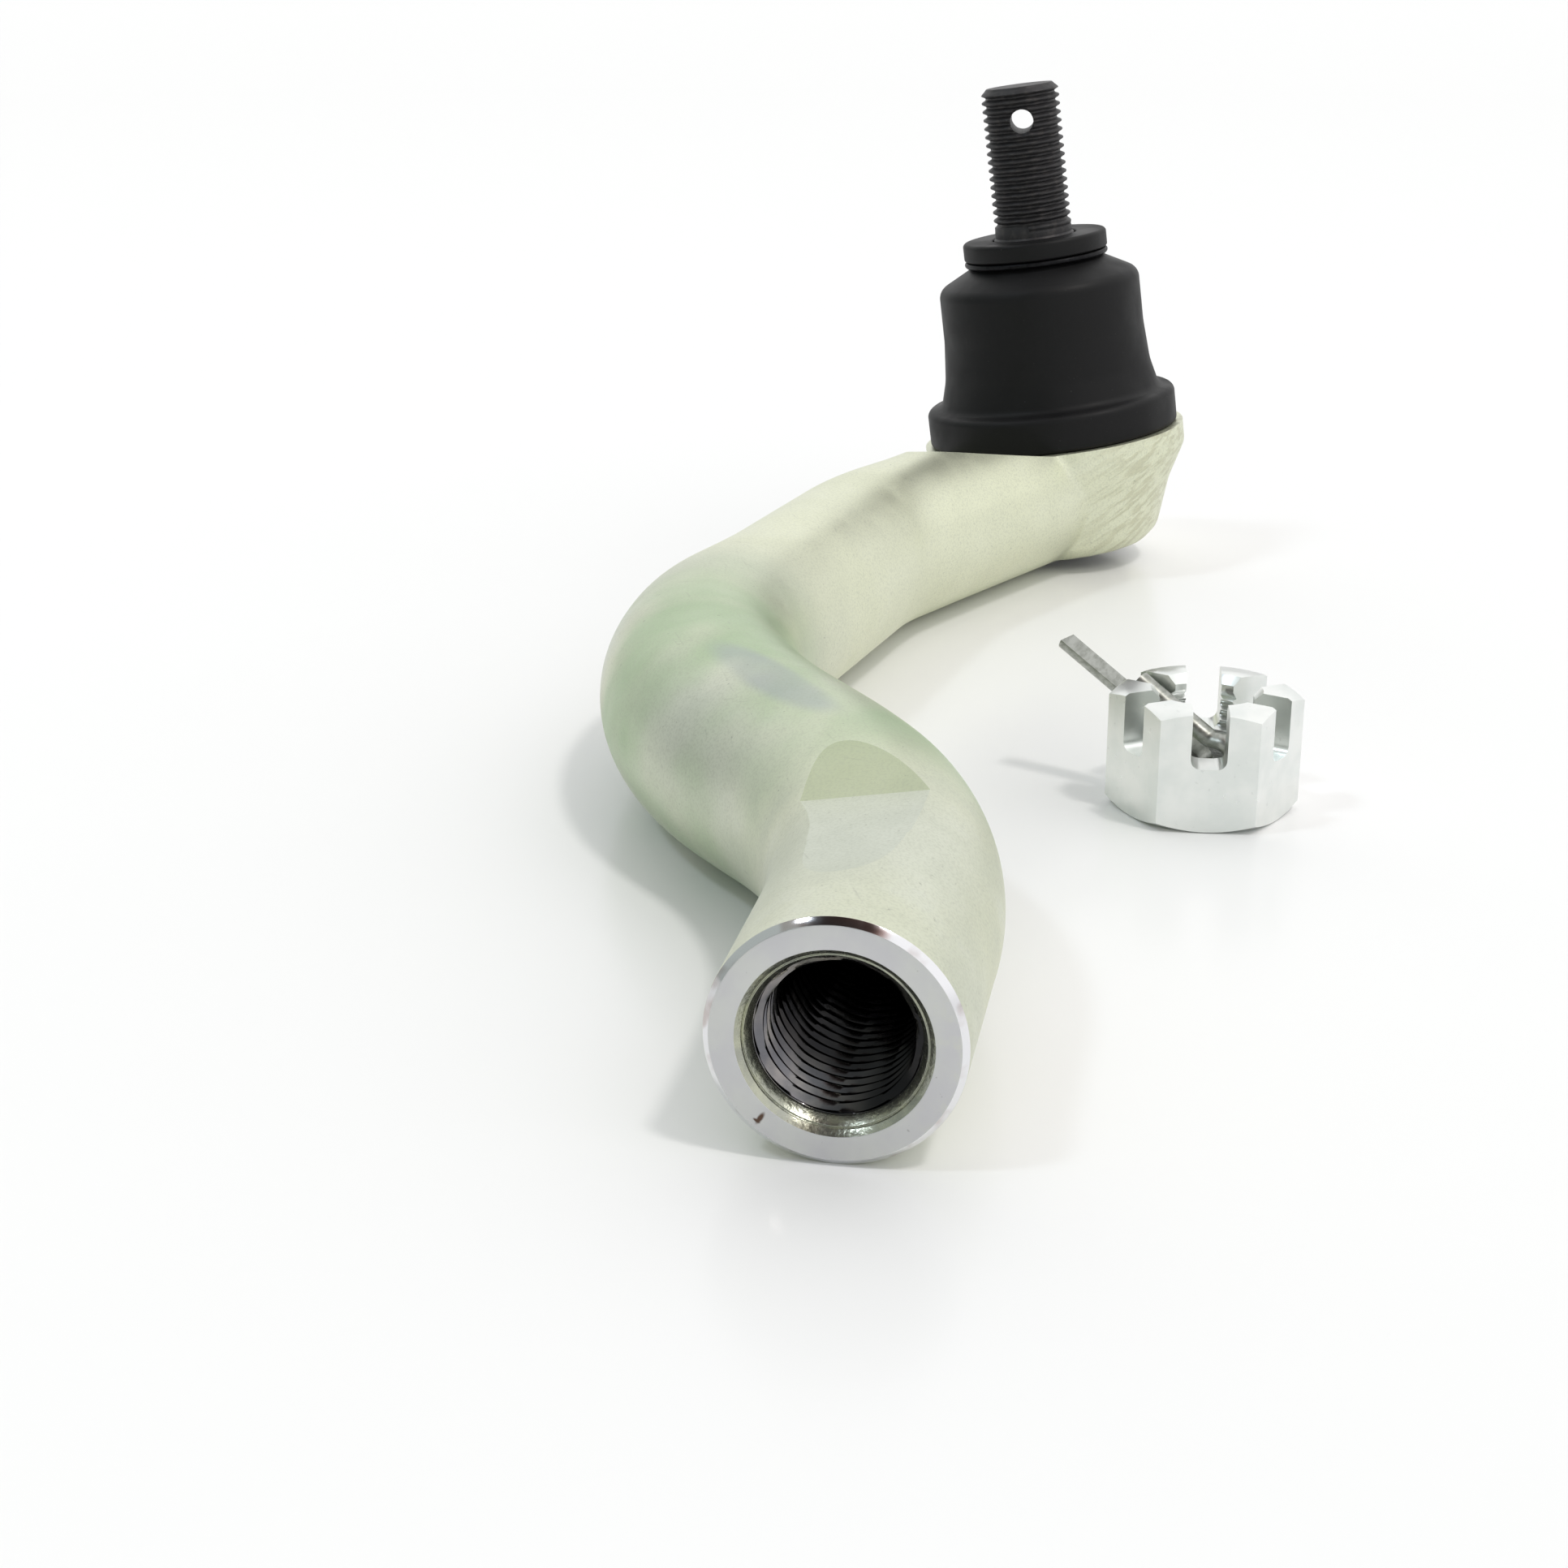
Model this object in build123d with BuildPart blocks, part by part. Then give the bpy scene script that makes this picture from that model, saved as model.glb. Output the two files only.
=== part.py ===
"""Outer tie rod end: a bent forged rod with a threaded socket at one end and a ball joint at the other,
with its loose castle nut and cotter pin beside it. Millimetres, +Z up.

The origin is where the socket's thread starts, on the thread axis, and +X points out of the socket.
The rod lies flat: it rests on the plane z = FLOOR_Z.
"""

import os
from math import cos, radians, sin, sqrt, tan

from build123d import *

os.makedirs("parts", exist_ok=True)


# ---- driving dimensions -------------------------------------------------------------------------

# threaded socket, M14 x 1.5 for an inner tie rod
SOCKET_R = 11.0
FLOOR_Z = -SOCKET_R
MOUTH = 1.8  # how far the end face stands in front of the thread's first turn
THREAD_R = 6.2
THREAD_LENGTH = 34.0
STEP_R = 7.1
MOUTH_R = 8.3
STEP_DEPTH = 0.6
SOCKET_CHAMFER = 0.9
DRILL_CONE = 3.6

# bent rod: the corners of its centreline in plan, and the radius of each bend
ROD_R = 11.5
ROD_CORNERS = ((-40.8, 0.0), (-82.4, -36.0), (-156.4, -23.4))
BEND_RADII = (55.0, 58.0, 50.0)
ROD_Z = FLOOR_Z + ROD_R
TAPER_START = -8.0
TAPER_END = -20.0

# ball joint head, turned about its own axis, which is rolled towards -Y
BALL = Vector(-207.2, -1.0, 5.0)
ROLL = 7.7
BALL_R = 10.0
NECK_R = 5.75
RUN_GAP = 0.05

CAVITY_R = 12.0
LIP_BASE = 4.6  # underside of the lip that keeps the upper seat in
LIP_R = 8.95
COLLAR_TOP = 8.7
COLLAR_R = 15.0
COLLAR_MOUTH_R = 11.3
GROOVE_R = 14.3
GROOVE_LOW = 5.1
GROOVE_HIGH = 7.3
FLANGE_R = 20.2
FLANGE_TOP = 3.6
FLANGE_LOW = 0.3
WAIST_R = 17.4
WAIST_U = -5.0
FOOT_R = 14.9
FOOT_U = -12.4
CRIMP_BOTTOM = -14.3
CRIMP_R = 12.9
CRIMP_INNER_R = 10.6
SPOTFACE_R = 20.6  # the rod's crown slopes down to the flange inside this radius and the next
SPOTFACE_OUTER_R = 38.0
SPOTFACE_RISE = 5.4
BELLY_SLOPE = 8.0
EDGE = 0.5  # turned corners of the flange and the collar
CAVITY_TURN = 11.0  # where the cavity's upper round is half done, in degrees

# end cap with its seal, and the parts between cap and ball
CAP_LOW = -13.5
CAP_THICK = 1.4
CAP_DISH_R = 6.5
CAP_DISH = 0.6
CAP_SLOPE = 1.2
SEAL_WIRE_R = 0.4
SEAL_CORNER = 1.0
SPRING_THICK = 0.4
SPRING_INNER_R = 4.2
SPRING_OUTER_R = 10.2
SPRING_LOW = -12.05
SPRING_HIGH = -11.22
SEAT_BOTTOM = -11.2
SEAT_GAP = 0.15
SEAT_OUTER_GAP = 0.04
SEAT_CHAMFER = 0.6

# ball stud, heights above the ball's centre
NECK_TOP = 12.0
TAPER_LARGE_R = 7.1
TAPER_LOW = 15.0
TAPER_HIGH = 34.1
TAPER_RATIO = 10.0  # 1:10 on the diameter
THREAD_STEP = 0.2
STUD_R = 5.88  # M12 x 1.25, over the crests
STUD_TIP = 56.6
STUD_CHAMFER = 0.9
COTTER_HOLE_R = 1.75
COTTER_HOLE_DROP = 5.0
COTTER_HOLE_TURN = 4.5  # the hole's direction in plan, from +X towards +Y

# dust boot
BOOT_GAP = 0.1
BOOT_WALL = 2.0
BOOT_EDGE = 0.8
BOOT_FLARE = 0.25  # the wall leans out a little below the waist
BOOT_FLARE_REACH = 4.0
BOOT_FLARE_DROP = 1.4
BOOT_BEAD_R = 19.3
BOOT_BEAD_TOP = 9.2
BOOT_SKIRT_R = 16.6
BOOT_SKIRT_U = 9.6
BOOT_WAIST_R = 15.4
BOOT_WAIST_U = 19.5
BOOT_SHOULDER_U = 27.0
BOOT_NECK_R = 10.0
BOOT_NECK_U = 30.4
BOOT_LIP_R = 11.0
BOOT_LIP_LOW = 31.4
BOOT_TOP = 34.2
BOOT_MOUTH_R = 6.4
BOOT_MOUTH_SPREAD = 0.2
NECK_WIRE_R = 0.45
BEAD_RING_R = (16.4, 17.6)
BEAD_RING_U = (4.9, 7.7)

# castle nut, M12 x 1.25, 19 mm across the flats
NUT_PLACE = Vector(-91.9, 26.5, FLOOR_Z)
NUT_TURN = 5.0
NUT_FLATS = 19.0
NUT_HEIGHT = 14.0
NUT_BORE_R = 5.35
NUT_THREAD_R = 6.0
NUT_SLOT = 4.0
NUT_SLOT_DEPTH = 6.5
NUT_FACE_DROP = 0.2  # the turned ends' circle is this far inside the flats
NUT_SINK = 0.2  # the countersinks reach this far past the thread

# cotter pin 3.2 x 22, folded from half-round wire, leaning out of the nut through one slot
PIN_R = 1.45
PIN_TURN = NUT_TURN + 240.0
PIN_RISE = 30.0
PIN_EYE_R = 1.5  # inside the eye
PIN_ELBOW_R = 2.5
PIN_LONG = 23.0
PIN_SHORT = 12.8
PIN_SPREAD = 0.75  # half the gap between the legs
PIN_EYE_REACH = -2.0  # the eye's centre, along the pin's heading from the nut's axis
PIN_EYE_Z = FLOOR_Z + 6.1


# ---- shared frames ------------------------------------------------------------------------------

roll = radians(ROLL)
HEAD = Plane(origin=BALL, x_dir=(1, 0, 0), z_dir=(0, -sin(roll), cos(roll)))
HEAD_AXIS = Axis(BALL, HEAD.z_dir)
HEAD_SIDE = Plane(origin=BALL, x_dir=HEAD.x_dir, z_dir=-HEAD.y_dir)  # radius along x, height along y
SOCKET_SIDE = Plane.XY  # along x, radius along y
NUT = Plane(origin=NUT_PLACE, x_dir=Vector(1, 0, 0).rotate(Axis.Z, NUT_TURN), z_dir=(0, 0, 1))
PIN_HEADING = Vector(1, 0, 0).rotate(Axis.Z, PIN_TURN)
PIN_DIRECTION = PIN_HEADING * cos(radians(PIN_RISE)) + Vector(0, 0, sin(radians(PIN_RISE)))
PIN_EYE = Vector(NUT_PLACE.X, NUT_PLACE.Y, PIN_EYE_Z) + PIN_HEADING * PIN_EYE_REACH
PIN = Plane(origin=PIN_EYE, x_dir=PIN_DIRECTION, z_dir=PIN_HEADING.cross(Vector(0, 0, 1)))


def on_sphere(radius, height):
    """Distance from the head's axis at which a sphere round the ball's centre reaches this height."""
    return sqrt(radius**2 - height**2)


def finish(part, name):
    """Label a piece and write it out."""
    part.label = name
    export_step(part, f"parts/{name}.step")


# ---- forged body --------------------------------------------------------------------------------

with BuildPart() as forged_body:
    # rod: straight runs and bends of one thickness, from the end of the socket's cone to the head
    with BuildLine() as rod_line:
        FilletPolyline(
            (TAPER_END, 0, ROD_Z),
            *((x, y, ROD_Z) for x, y in ROD_CORNERS),
            (BALL.X, BALL.Y, ROD_Z),
            radius=BEND_RADII,
        )
    with BuildSketch(Plane(origin=rod_line.line @ 0, z_dir=rod_line.line % 0)):
        Circle(ROD_R)
    sweep()

    # socket: a turned cylinder whose end swells into the rod
    with BuildSketch(Plane(origin=(MOUTH, 0, 0), z_dir=(-1, 0, 0))):
        Circle(SOCKET_R)
    extrude(amount=MOUTH - TAPER_START)
    chamfer(forged_body.faces().sort_by(Axis.X)[-1].edges(), SOCKET_CHAMFER)
    with BuildSketch(Plane(origin=(TAPER_START, 0, 0), z_dir=(-1, 0, 0))):
        Circle(SOCKET_R)
    with BuildSketch(Plane(origin=(TAPER_END, 0, ROD_Z), z_dir=(-1, 0, 0))):
        Circle(ROD_R)
    loft()

    # the rod's crown is cut away where the boot's bead sits
    with BuildSketch(HEAD_SIDE):
        with BuildLine():
            Polyline(
                (0, FLANGE_TOP),
                (SPOTFACE_R, FLANGE_TOP),
                (SPOTFACE_OUTER_R, FLANGE_TOP + SPOTFACE_RISE),
                (SPOTFACE_OUTER_R, 2 * COLLAR_TOP),
                (0, 2 * COLLAR_TOP),
                close=True,
            )
        make_face()
    revolve(axis=HEAD_AXIS, mode=Mode.SUBTRACT)

    # and its belly is cut away under the end cap
    with BuildSketch(HEAD_SIDE):
        with BuildLine():
            Polyline(
                (0, CRIMP_BOTTOM),
                (CRIMP_R, CRIMP_BOTTOM),
                (CRIMP_R + BELLY_SLOPE, CRIMP_BOTTOM - BELLY_SLOPE),
                (0, CRIMP_BOTTOM - BELLY_SLOPE),
                close=True,
            )
        make_face()
    revolve(axis=HEAD_AXIS, mode=Mode.SUBTRACT)

    # head: outside of the forging
    with BuildSketch(HEAD_SIDE):
        with BuildLine():
            Polyline(
                (0, CRIMP_BOTTOM),
                (CRIMP_R, CRIMP_BOTTOM),
                (FOOT_R, FOOT_U),
                (WAIST_R, WAIST_U),
                (FLANGE_R, FLANGE_LOW),
                (FLANGE_R, FLANGE_TOP - EDGE),
                (FLANGE_R - EDGE, FLANGE_TOP),
                (COLLAR_R, FLANGE_TOP),
                (COLLAR_R, GROOVE_LOW),
                (GROOVE_R, GROOVE_LOW),
                (GROOVE_R, GROOVE_HIGH),
                (COLLAR_R, GROOVE_HIGH),
                (COLLAR_R, COLLAR_TOP - EDGE),
                (COLLAR_R - EDGE, COLLAR_TOP),
                (0, COLLAR_TOP),
                close=True,
            )
        make_face()
    revolve(axis=HEAD_AXIS)

    # head: ball cavity, stud opening and the bore under the crimped rim
    with BuildSketch(HEAD_SIDE):
        with BuildLine():
            cavity_top = (on_sphere(CAVITY_R, LIP_BASE), LIP_BASE)
            cavity_turn = radians(CAVITY_TURN)
            cavity_arc = (CAVITY_R * cos(cavity_turn), CAVITY_R * sin(cavity_turn))
            Polyline((0, CRIMP_BOTTOM), (CRIMP_INNER_R, CRIMP_BOTTOM), (CRIMP_INNER_R, CAP_LOW))
            Polyline((CRIMP_INNER_R, CAP_LOW), (CAVITY_R, CAP_LOW), (CAVITY_R, 0))
            ThreePointArc((CAVITY_R, 0), cavity_arc, cavity_top)
            Polyline(cavity_top, (LIP_R, LIP_BASE), (COLLAR_MOUTH_R, COLLAR_TOP))
            Polyline((COLLAR_MOUTH_R, COLLAR_TOP), (0, COLLAR_TOP), (0, CRIMP_BOTTOM))
        make_face()
    revolve(axis=HEAD_AXIS, mode=Mode.SUBTRACT)

    # socket: two-step mouth, tapped hole and drill point
    with BuildSketch(SOCKET_SIDE):
        with BuildLine():
            Polyline(
                (MOUTH, 0),
                (MOUTH, MOUTH_R),
                (MOUTH - STEP_DEPTH, MOUTH_R - STEP_DEPTH),
                (MOUTH - STEP_DEPTH, STEP_R),
                (0, THREAD_R),
                (-THREAD_LENGTH, THREAD_R),
                (-THREAD_LENGTH - DRILL_CONE, 0),
                close=True,
            )
        make_face()
    revolve(axis=Axis.X, mode=Mode.SUBTRACT)

finish(forged_body.part, "forged_body")


# ---- ball stud ----------------------------------------------------------------------------------

taper_small_r = TAPER_LARGE_R - (TAPER_HIGH - TAPER_LOW) / TAPER_RATIO / 2
neck_low = on_sphere(BALL_R, NECK_R)
hole_direction = Vector(1, 0, 0).rotate(Axis.Z, COTTER_HOLE_TURN)
hole_direction = (hole_direction - HEAD.z_dir * hole_direction.dot(HEAD.z_dir)).normalized()
hole_centre = BALL + HEAD.z_dir * (STUD_TIP - COTTER_HOLE_DROP)

with BuildPart() as ball_stud:
    with BuildSketch(HEAD_SIDE):
        with BuildLine():
            ThreePointArc((0, -BALL_R), (BALL_R, 0), (NECK_R, neck_low))
            Polyline(
                (NECK_R, neck_low),
                (NECK_R, NECK_TOP),
                (TAPER_LARGE_R, TAPER_LOW),
                (taper_small_r, TAPER_HIGH),
                (STUD_R, TAPER_HIGH + THREAD_STEP),
                (STUD_R, STUD_TIP - STUD_CHAMFER),
                (STUD_R - STUD_CHAMFER, STUD_TIP),
                (0, STUD_TIP),
                (0, -BALL_R),
            )
        make_face()
    revolve(axis=HEAD_AXIS)
    with BuildSketch(Plane(origin=hole_centre, z_dir=hole_direction)):
        Circle(COTTER_HOLE_R)
    extrude(amount=2 * STUD_R, both=True, mode=Mode.SUBTRACT)

finish(ball_stud.part, "ball_stud")


# ---- bearing seats, preload spring, end cap and its seal ----------------------------------------

seat_inner = BALL_R + RUN_GAP
seat_outer = CAVITY_R - SEAT_OUTER_GAP
seat_top = LIP_BASE - SEAT_OUTER_GAP

with BuildPart() as upper_seat:
    with BuildSketch(HEAD_SIDE):
        Circle(seat_outer)
        Circle(seat_inner, mode=Mode.SUBTRACT)
        with Locations((seat_outer / 2, (seat_top + SEAT_GAP) / 2)):
            Rectangle(seat_outer, seat_top - SEAT_GAP, mode=Mode.INTERSECT)
    revolve(axis=HEAD_AXIS)

finish(upper_seat.part, "upper_bearing_seat")

with BuildPart() as lower_seat:
    with BuildSketch(HEAD_SIDE):
        with Locations((seat_outer / 2, (SEAT_BOTTOM - SEAT_GAP) / 2)):
            Rectangle(seat_outer, -SEAT_GAP - SEAT_BOTTOM)
        Circle(seat_inner, mode=Mode.SUBTRACT)
    revolve(axis=HEAD_AXIS)
    chamfer(lower_seat.edges().group_by(HEAD_AXIS)[0], SEAT_CHAMFER)

finish(lower_seat.part, "lower_bearing_seat")

with BuildPart() as preload_spring:
    with BuildSketch(HEAD_SIDE):
        with BuildLine():
            Polyline(
                (SPRING_INNER_R, SPRING_HIGH),
                (SPRING_OUTER_R, SPRING_LOW + SPRING_THICK),
                (SPRING_OUTER_R, SPRING_LOW),
                (SPRING_INNER_R, SPRING_HIGH - SPRING_THICK),
                close=True,
            )
        make_face()
    revolve(axis=HEAD_AXIS)

finish(preload_spring.part, "preload_spring")

cap_top = CAP_LOW + CAP_THICK
cap_r = CAVITY_R - SEAT_OUTER_GAP
seal_place = (cap_r - SEAL_WIRE_R, cap_top - SEAL_WIRE_R)

with BuildPart() as end_cap:
    with BuildSketch(HEAD_SIDE):
        with BuildLine():
            Polyline(
                (0, CAP_LOW + CAP_DISH),
                (CAP_DISH_R, CAP_LOW + CAP_DISH),
                (CAP_DISH_R + CAP_SLOPE, CAP_LOW),
                (cap_r, CAP_LOW),
                (cap_r, cap_top - SEAL_CORNER),
                (cap_r - SEAL_CORNER, cap_top - SEAL_CORNER),
                (cap_r - SEAL_CORNER, cap_top),
                (0, cap_top),
                close=True,
            )
        make_face()
    revolve(axis=HEAD_AXIS)

finish(end_cap.part, "end_cap")

with BuildPart() as cap_seal:
    with BuildSketch(HEAD_SIDE):
        with Locations(seal_place):
            Circle(SEAL_WIRE_R)
    revolve(axis=HEAD_AXIS)

finish(cap_seal.part, "end_cap_seal")


# ---- dust boot, the ring moulded into its bead and the wire at its neck --------------------------

bead_ring_size = (BEAD_RING_R[1] - BEAD_RING_R[0], BEAD_RING_U[1] - BEAD_RING_U[0])
neck_wire_u = (BOOT_NECK_U + BOOT_LIP_LOW) / 2

with BuildPart() as dust_boot:
    with BuildSketch(HEAD_SIDE):
        with BuildLine():
            bead_low = FLANGE_TOP + BOOT_GAP / 2
            collar_gap_r = COLLAR_R + BOOT_GAP
            groove_gap_r = GROOVE_R + BOOT_GAP
            inner_waist_r = BOOT_WAIST_R - BOOT_WALL
            Polyline(
                (groove_gap_r, GROOVE_LOW + BOOT_GAP),
                (collar_gap_r, GROOVE_LOW + BOOT_GAP),
                (collar_gap_r, bead_low),
                (BOOT_BEAD_R, bead_low),
                (BOOT_BEAD_R, BOOT_BEAD_TOP - BOOT_EDGE),
                (BOOT_BEAD_R - BOOT_EDGE, BOOT_BEAD_TOP),
                (BOOT_SKIRT_R, BOOT_SKIRT_U),
            )
            Spline(
                (BOOT_SKIRT_R, BOOT_SKIRT_U),
                (BOOT_WAIST_R + BOOT_FLARE, BOOT_WAIST_U - BOOT_FLARE_REACH),
                (BOOT_WAIST_R, BOOT_SHOULDER_U - BOOT_EDGE),
            )
            Polyline(
                (BOOT_WAIST_R, BOOT_SHOULDER_U - BOOT_EDGE),
                (BOOT_WAIST_R - BOOT_EDGE, BOOT_SHOULDER_U + BOOT_EDGE),
                (BOOT_NECK_R, BOOT_NECK_U),
                (BOOT_NECK_R, BOOT_LIP_LOW),
                (BOOT_LIP_R, BOOT_LIP_LOW),
                (BOOT_LIP_R, BOOT_TOP - EDGE),
                (BOOT_LIP_R - EDGE, BOOT_TOP),
                (BOOT_MOUTH_R, BOOT_TOP),
                (BOOT_MOUTH_R + BOOT_MOUTH_SPREAD, BOOT_NECK_U),
                (BOOT_NECK_R - BOOT_WALL, BOOT_NECK_U - BOOT_FLARE_DROP),
                (inner_waist_r, BOOT_SHOULDER_U - BOOT_FLARE_DROP),
                (inner_waist_r + BOOT_FLARE, BOOT_WAIST_U - BOOT_FLARE_REACH),
                (BOOT_SKIRT_R - BOOT_WALL, BOOT_SKIRT_U),
                (collar_gap_r, COLLAR_TOP),
                (collar_gap_r, GROOVE_HIGH - BOOT_GAP),
                (groove_gap_r, GROOVE_HIGH - BOOT_GAP),
                (groove_gap_r, GROOVE_LOW + BOOT_GAP),
            )
        make_face()
        with Locations((sum(BEAD_RING_R) / 2, sum(BEAD_RING_U) / 2)):
            Rectangle(*bead_ring_size, mode=Mode.SUBTRACT)
    revolve(axis=HEAD_AXIS)

finish(dust_boot.part, "dust_boot")

with BuildPart() as bead_ring:
    with BuildSketch(HEAD_SIDE):
        with Locations((sum(BEAD_RING_R) / 2, sum(BEAD_RING_U) / 2)):
            Rectangle(*bead_ring_size)
    revolve(axis=HEAD_AXIS)

finish(bead_ring.part, "boot_bead_ring")

with BuildPart() as neck_wire:
    with BuildSketch(HEAD_SIDE):
        with Locations((BOOT_NECK_R + NECK_WIRE_R + BOOT_GAP, neck_wire_u)):
            Circle(NECK_WIRE_R)
    revolve(axis=HEAD_AXIS)

finish(neck_wire.part, "boot_neck_wire")


# ---- castle nut ---------------------------------------------------------------------------------

nut_corner_r = NUT_FLATS / 2 / cos(radians(30))
nut_face_r = NUT_FLATS / 2 - NUT_FACE_DROP
nut_corner_drop = (nut_corner_r - nut_face_r) * tan(radians(30))
nut_side = Plane(origin=NUT_PLACE, x_dir=NUT.x_dir, z_dir=-NUT.y_dir)
nut_axis = Axis(NUT_PLACE, NUT.z_dir)

with BuildPart() as castle_nut:
    with BuildSketch(NUT):
        RegularPolygon(NUT_FLATS / 2, 6, major_radius=False, rotation=30)
    extrude(amount=NUT_HEIGHT)
    # the corners are turned off at both ends
    with BuildSketch(nut_side):
        with BuildLine():
            Polyline(
                (0, 0),
                (nut_face_r, 0),
                (nut_corner_r, nut_corner_drop),
                (nut_corner_r, NUT_HEIGHT - nut_corner_drop),
                (nut_face_r, NUT_HEIGHT),
                (0, NUT_HEIGHT),
                close=True,
            )
        make_face()
    revolve(axis=nut_axis, mode=Mode.INTERSECT)
    # the bore, countersunk at both ends
    with BuildSketch(nut_side):
        with BuildLine():
            nut_sink = NUT_THREAD_R + NUT_SINK - NUT_BORE_R
            Polyline(
                (0, 0),
                (NUT_BORE_R + nut_sink, 0),
                (NUT_BORE_R, nut_sink),
                (NUT_BORE_R, NUT_HEIGHT - nut_sink),
                (NUT_BORE_R + nut_sink, NUT_HEIGHT),
                (0, NUT_HEIGHT),
                close=True,
            )
        make_face()
    revolve(axis=nut_axis, mode=Mode.SUBTRACT)
    # three cuts right across make six slots, one in the middle of each flat
    with BuildSketch(NUT.offset(NUT_HEIGHT)):
        with PolarLocations(0, 3, angular_range=180):
            Rectangle(3 * NUT_FLATS, NUT_SLOT)
    extrude(amount=-NUT_SLOT_DEPTH, mode=Mode.SUBTRACT)

finish(castle_nut.part, "castle_nut")


# ---- cotter pin ---------------------------------------------------------------------------------

elbow_rise = PIN_SPREAD + PIN_ELBOW_R
elbow_reach = sqrt((PIN_EYE_R + PIN_ELBOW_R) ** 2 - elbow_rise**2)
elbow = Vector(elbow_reach, elbow_rise)
elbow_end = elbow.normalized() * PIN_EYE_R  # where the elbow's arc meets the eye's
elbow_mid = elbow - (elbow.normalized() + Vector(0, 1)).normalized() * PIN_ELBOW_R

with BuildPart() as cotter_pin:
    with BuildLine(PIN):
        Line((PIN_LONG, -PIN_SPREAD), (elbow_reach, -PIN_SPREAD))
        ThreePointArc((elbow_reach, -PIN_SPREAD), (elbow_mid.X, -elbow_mid.Y), (elbow_end.X, -elbow_end.Y))
        ThreePointArc((elbow_end.X, -elbow_end.Y), (-PIN_EYE_R, 0), (elbow_end.X, elbow_end.Y))
        ThreePointArc((elbow_end.X, elbow_end.Y), (elbow_mid.X, elbow_mid.Y), (elbow_reach, PIN_SPREAD))
        Line((elbow_reach, PIN_SPREAD), (PIN_SHORT, PIN_SPREAD))
    pin_start = PIN.from_local_coords((PIN_LONG, -PIN_SPREAD, 0))
    with BuildSketch(Plane(origin=pin_start, x_dir=PIN.z_dir, z_dir=-PIN.x_dir)):
        Circle(PIN_R)
        with Locations((0, PIN_R)):
            Rectangle(2 * PIN_R, 2 * PIN_R, mode=Mode.SUBTRACT)
    sweep()

finish(cotter_pin.part, "cotter_pin")
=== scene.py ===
"""Tie rod end: finished surfaces, materials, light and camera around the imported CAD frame.

Sizes are in millimetres as on the CAD model, and become metres when a mesh is made.
"""

from math import acos, atan2, cos, pi, radians, sin, sqrt, tan

import bmesh
import bpy
from mathutils import Matrix, Vector

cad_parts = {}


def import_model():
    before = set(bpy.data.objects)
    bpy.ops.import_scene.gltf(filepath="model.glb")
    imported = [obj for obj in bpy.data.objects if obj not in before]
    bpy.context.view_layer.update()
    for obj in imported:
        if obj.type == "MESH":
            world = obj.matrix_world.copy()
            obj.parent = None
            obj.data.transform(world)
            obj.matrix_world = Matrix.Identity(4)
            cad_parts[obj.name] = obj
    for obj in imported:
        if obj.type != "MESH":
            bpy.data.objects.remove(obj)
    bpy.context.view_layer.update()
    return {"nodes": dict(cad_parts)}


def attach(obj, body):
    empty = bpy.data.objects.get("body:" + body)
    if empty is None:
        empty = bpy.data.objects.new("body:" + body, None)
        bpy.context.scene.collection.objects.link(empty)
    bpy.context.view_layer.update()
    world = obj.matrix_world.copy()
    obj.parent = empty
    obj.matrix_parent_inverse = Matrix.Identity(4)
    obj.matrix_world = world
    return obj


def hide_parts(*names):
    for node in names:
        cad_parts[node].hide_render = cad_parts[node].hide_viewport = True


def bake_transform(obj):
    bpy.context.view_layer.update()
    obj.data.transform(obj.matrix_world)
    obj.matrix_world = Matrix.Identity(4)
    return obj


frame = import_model()

MM = 0.001
WELD = 2e-7  # metres
SHARP, BODY_SHARP, STUD_SHARP, NUT_SHARP = radians(24), radians(22), radians(30), radians(35)
AXIS_R = 0.02  # the radius at which an outline that ends on its axis is closed with a flat
ROD_COLUMNS, HEAD_COLUMNS, BOOT_COLUMNS, STUD_COLUMNS = 120, 96, 144, 96
TURNED_COLUMNS, TAP_COLUMNS, DRILL_COLUMNS = 160, 72, 48

# a screw thread's form in shares of one turn: flat core, flank, flat crest, flank; FLANK_EASE is
# how much of the flank's slope is eased
CORE_END, CREST_START, CREST_END = 0.2, 0.5, 0.7
FLANK, FLANK_EASE = 0.3, 0.35
THREAD_LEAD = 1.5  # turns in which a thread grows to its full depth

# ---- sizes --------------------------------------------------------------------------------------

FLOOR_Z = -11.0

# socket
SOCKET_R = 11.0
MOUTH = 1.8
FACE_CHAMFER = 0.6
STEP_R = 7.1
MOUTH_R = 8.3
GROOVE_MARK_R = 7.72
SOCKET_THREAD_DEPTH = 34.0
DRILL_CONE = 3.6
SOCKET_THREAD = {"pitch": 1.5, "core": 6.35, "crest": 7.02}
SOCKET_THREAD_END, MOUTH_CONE_DEPTH, MOUTH_CONE_SLOPE = 0.03, 0.3, 2.6
SOCKET_RINGS, SOCKET_RING_STEP = 14, 1.42

# rod
ROD_CORNERS = ((-20.0, 0.0), (-40.8, 0.0), (-82.4, -36.0), (-156.4, -23.4), (-207.2, -1.0))
BEND_RADII = (55.0, 58.0, 50.0)
ROD_STEP = 1.3
# (distance from the socket's face, radius)
ROD_RADII = ((0, 11.0), (22, 11.05), (50, 11.5), (80, 12.0), (108, 11.9), (135, 11.5), (260, 11.4))
# places on the rod as distances from the ball's centre: its own skin ends at ROD_STOP, inside the
# head; the head's root starts under that skin, comes out at STUB_CROSS and flares to the head
ROD_STOP = 12.0
STUB_START, STUB_CROSS, STUB_FLARED, STUB_STOP = 52.0, 46.0, 16.0, 4.0
STUB_SINK, STUB_FLARE = 0.5, 1.0

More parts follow.
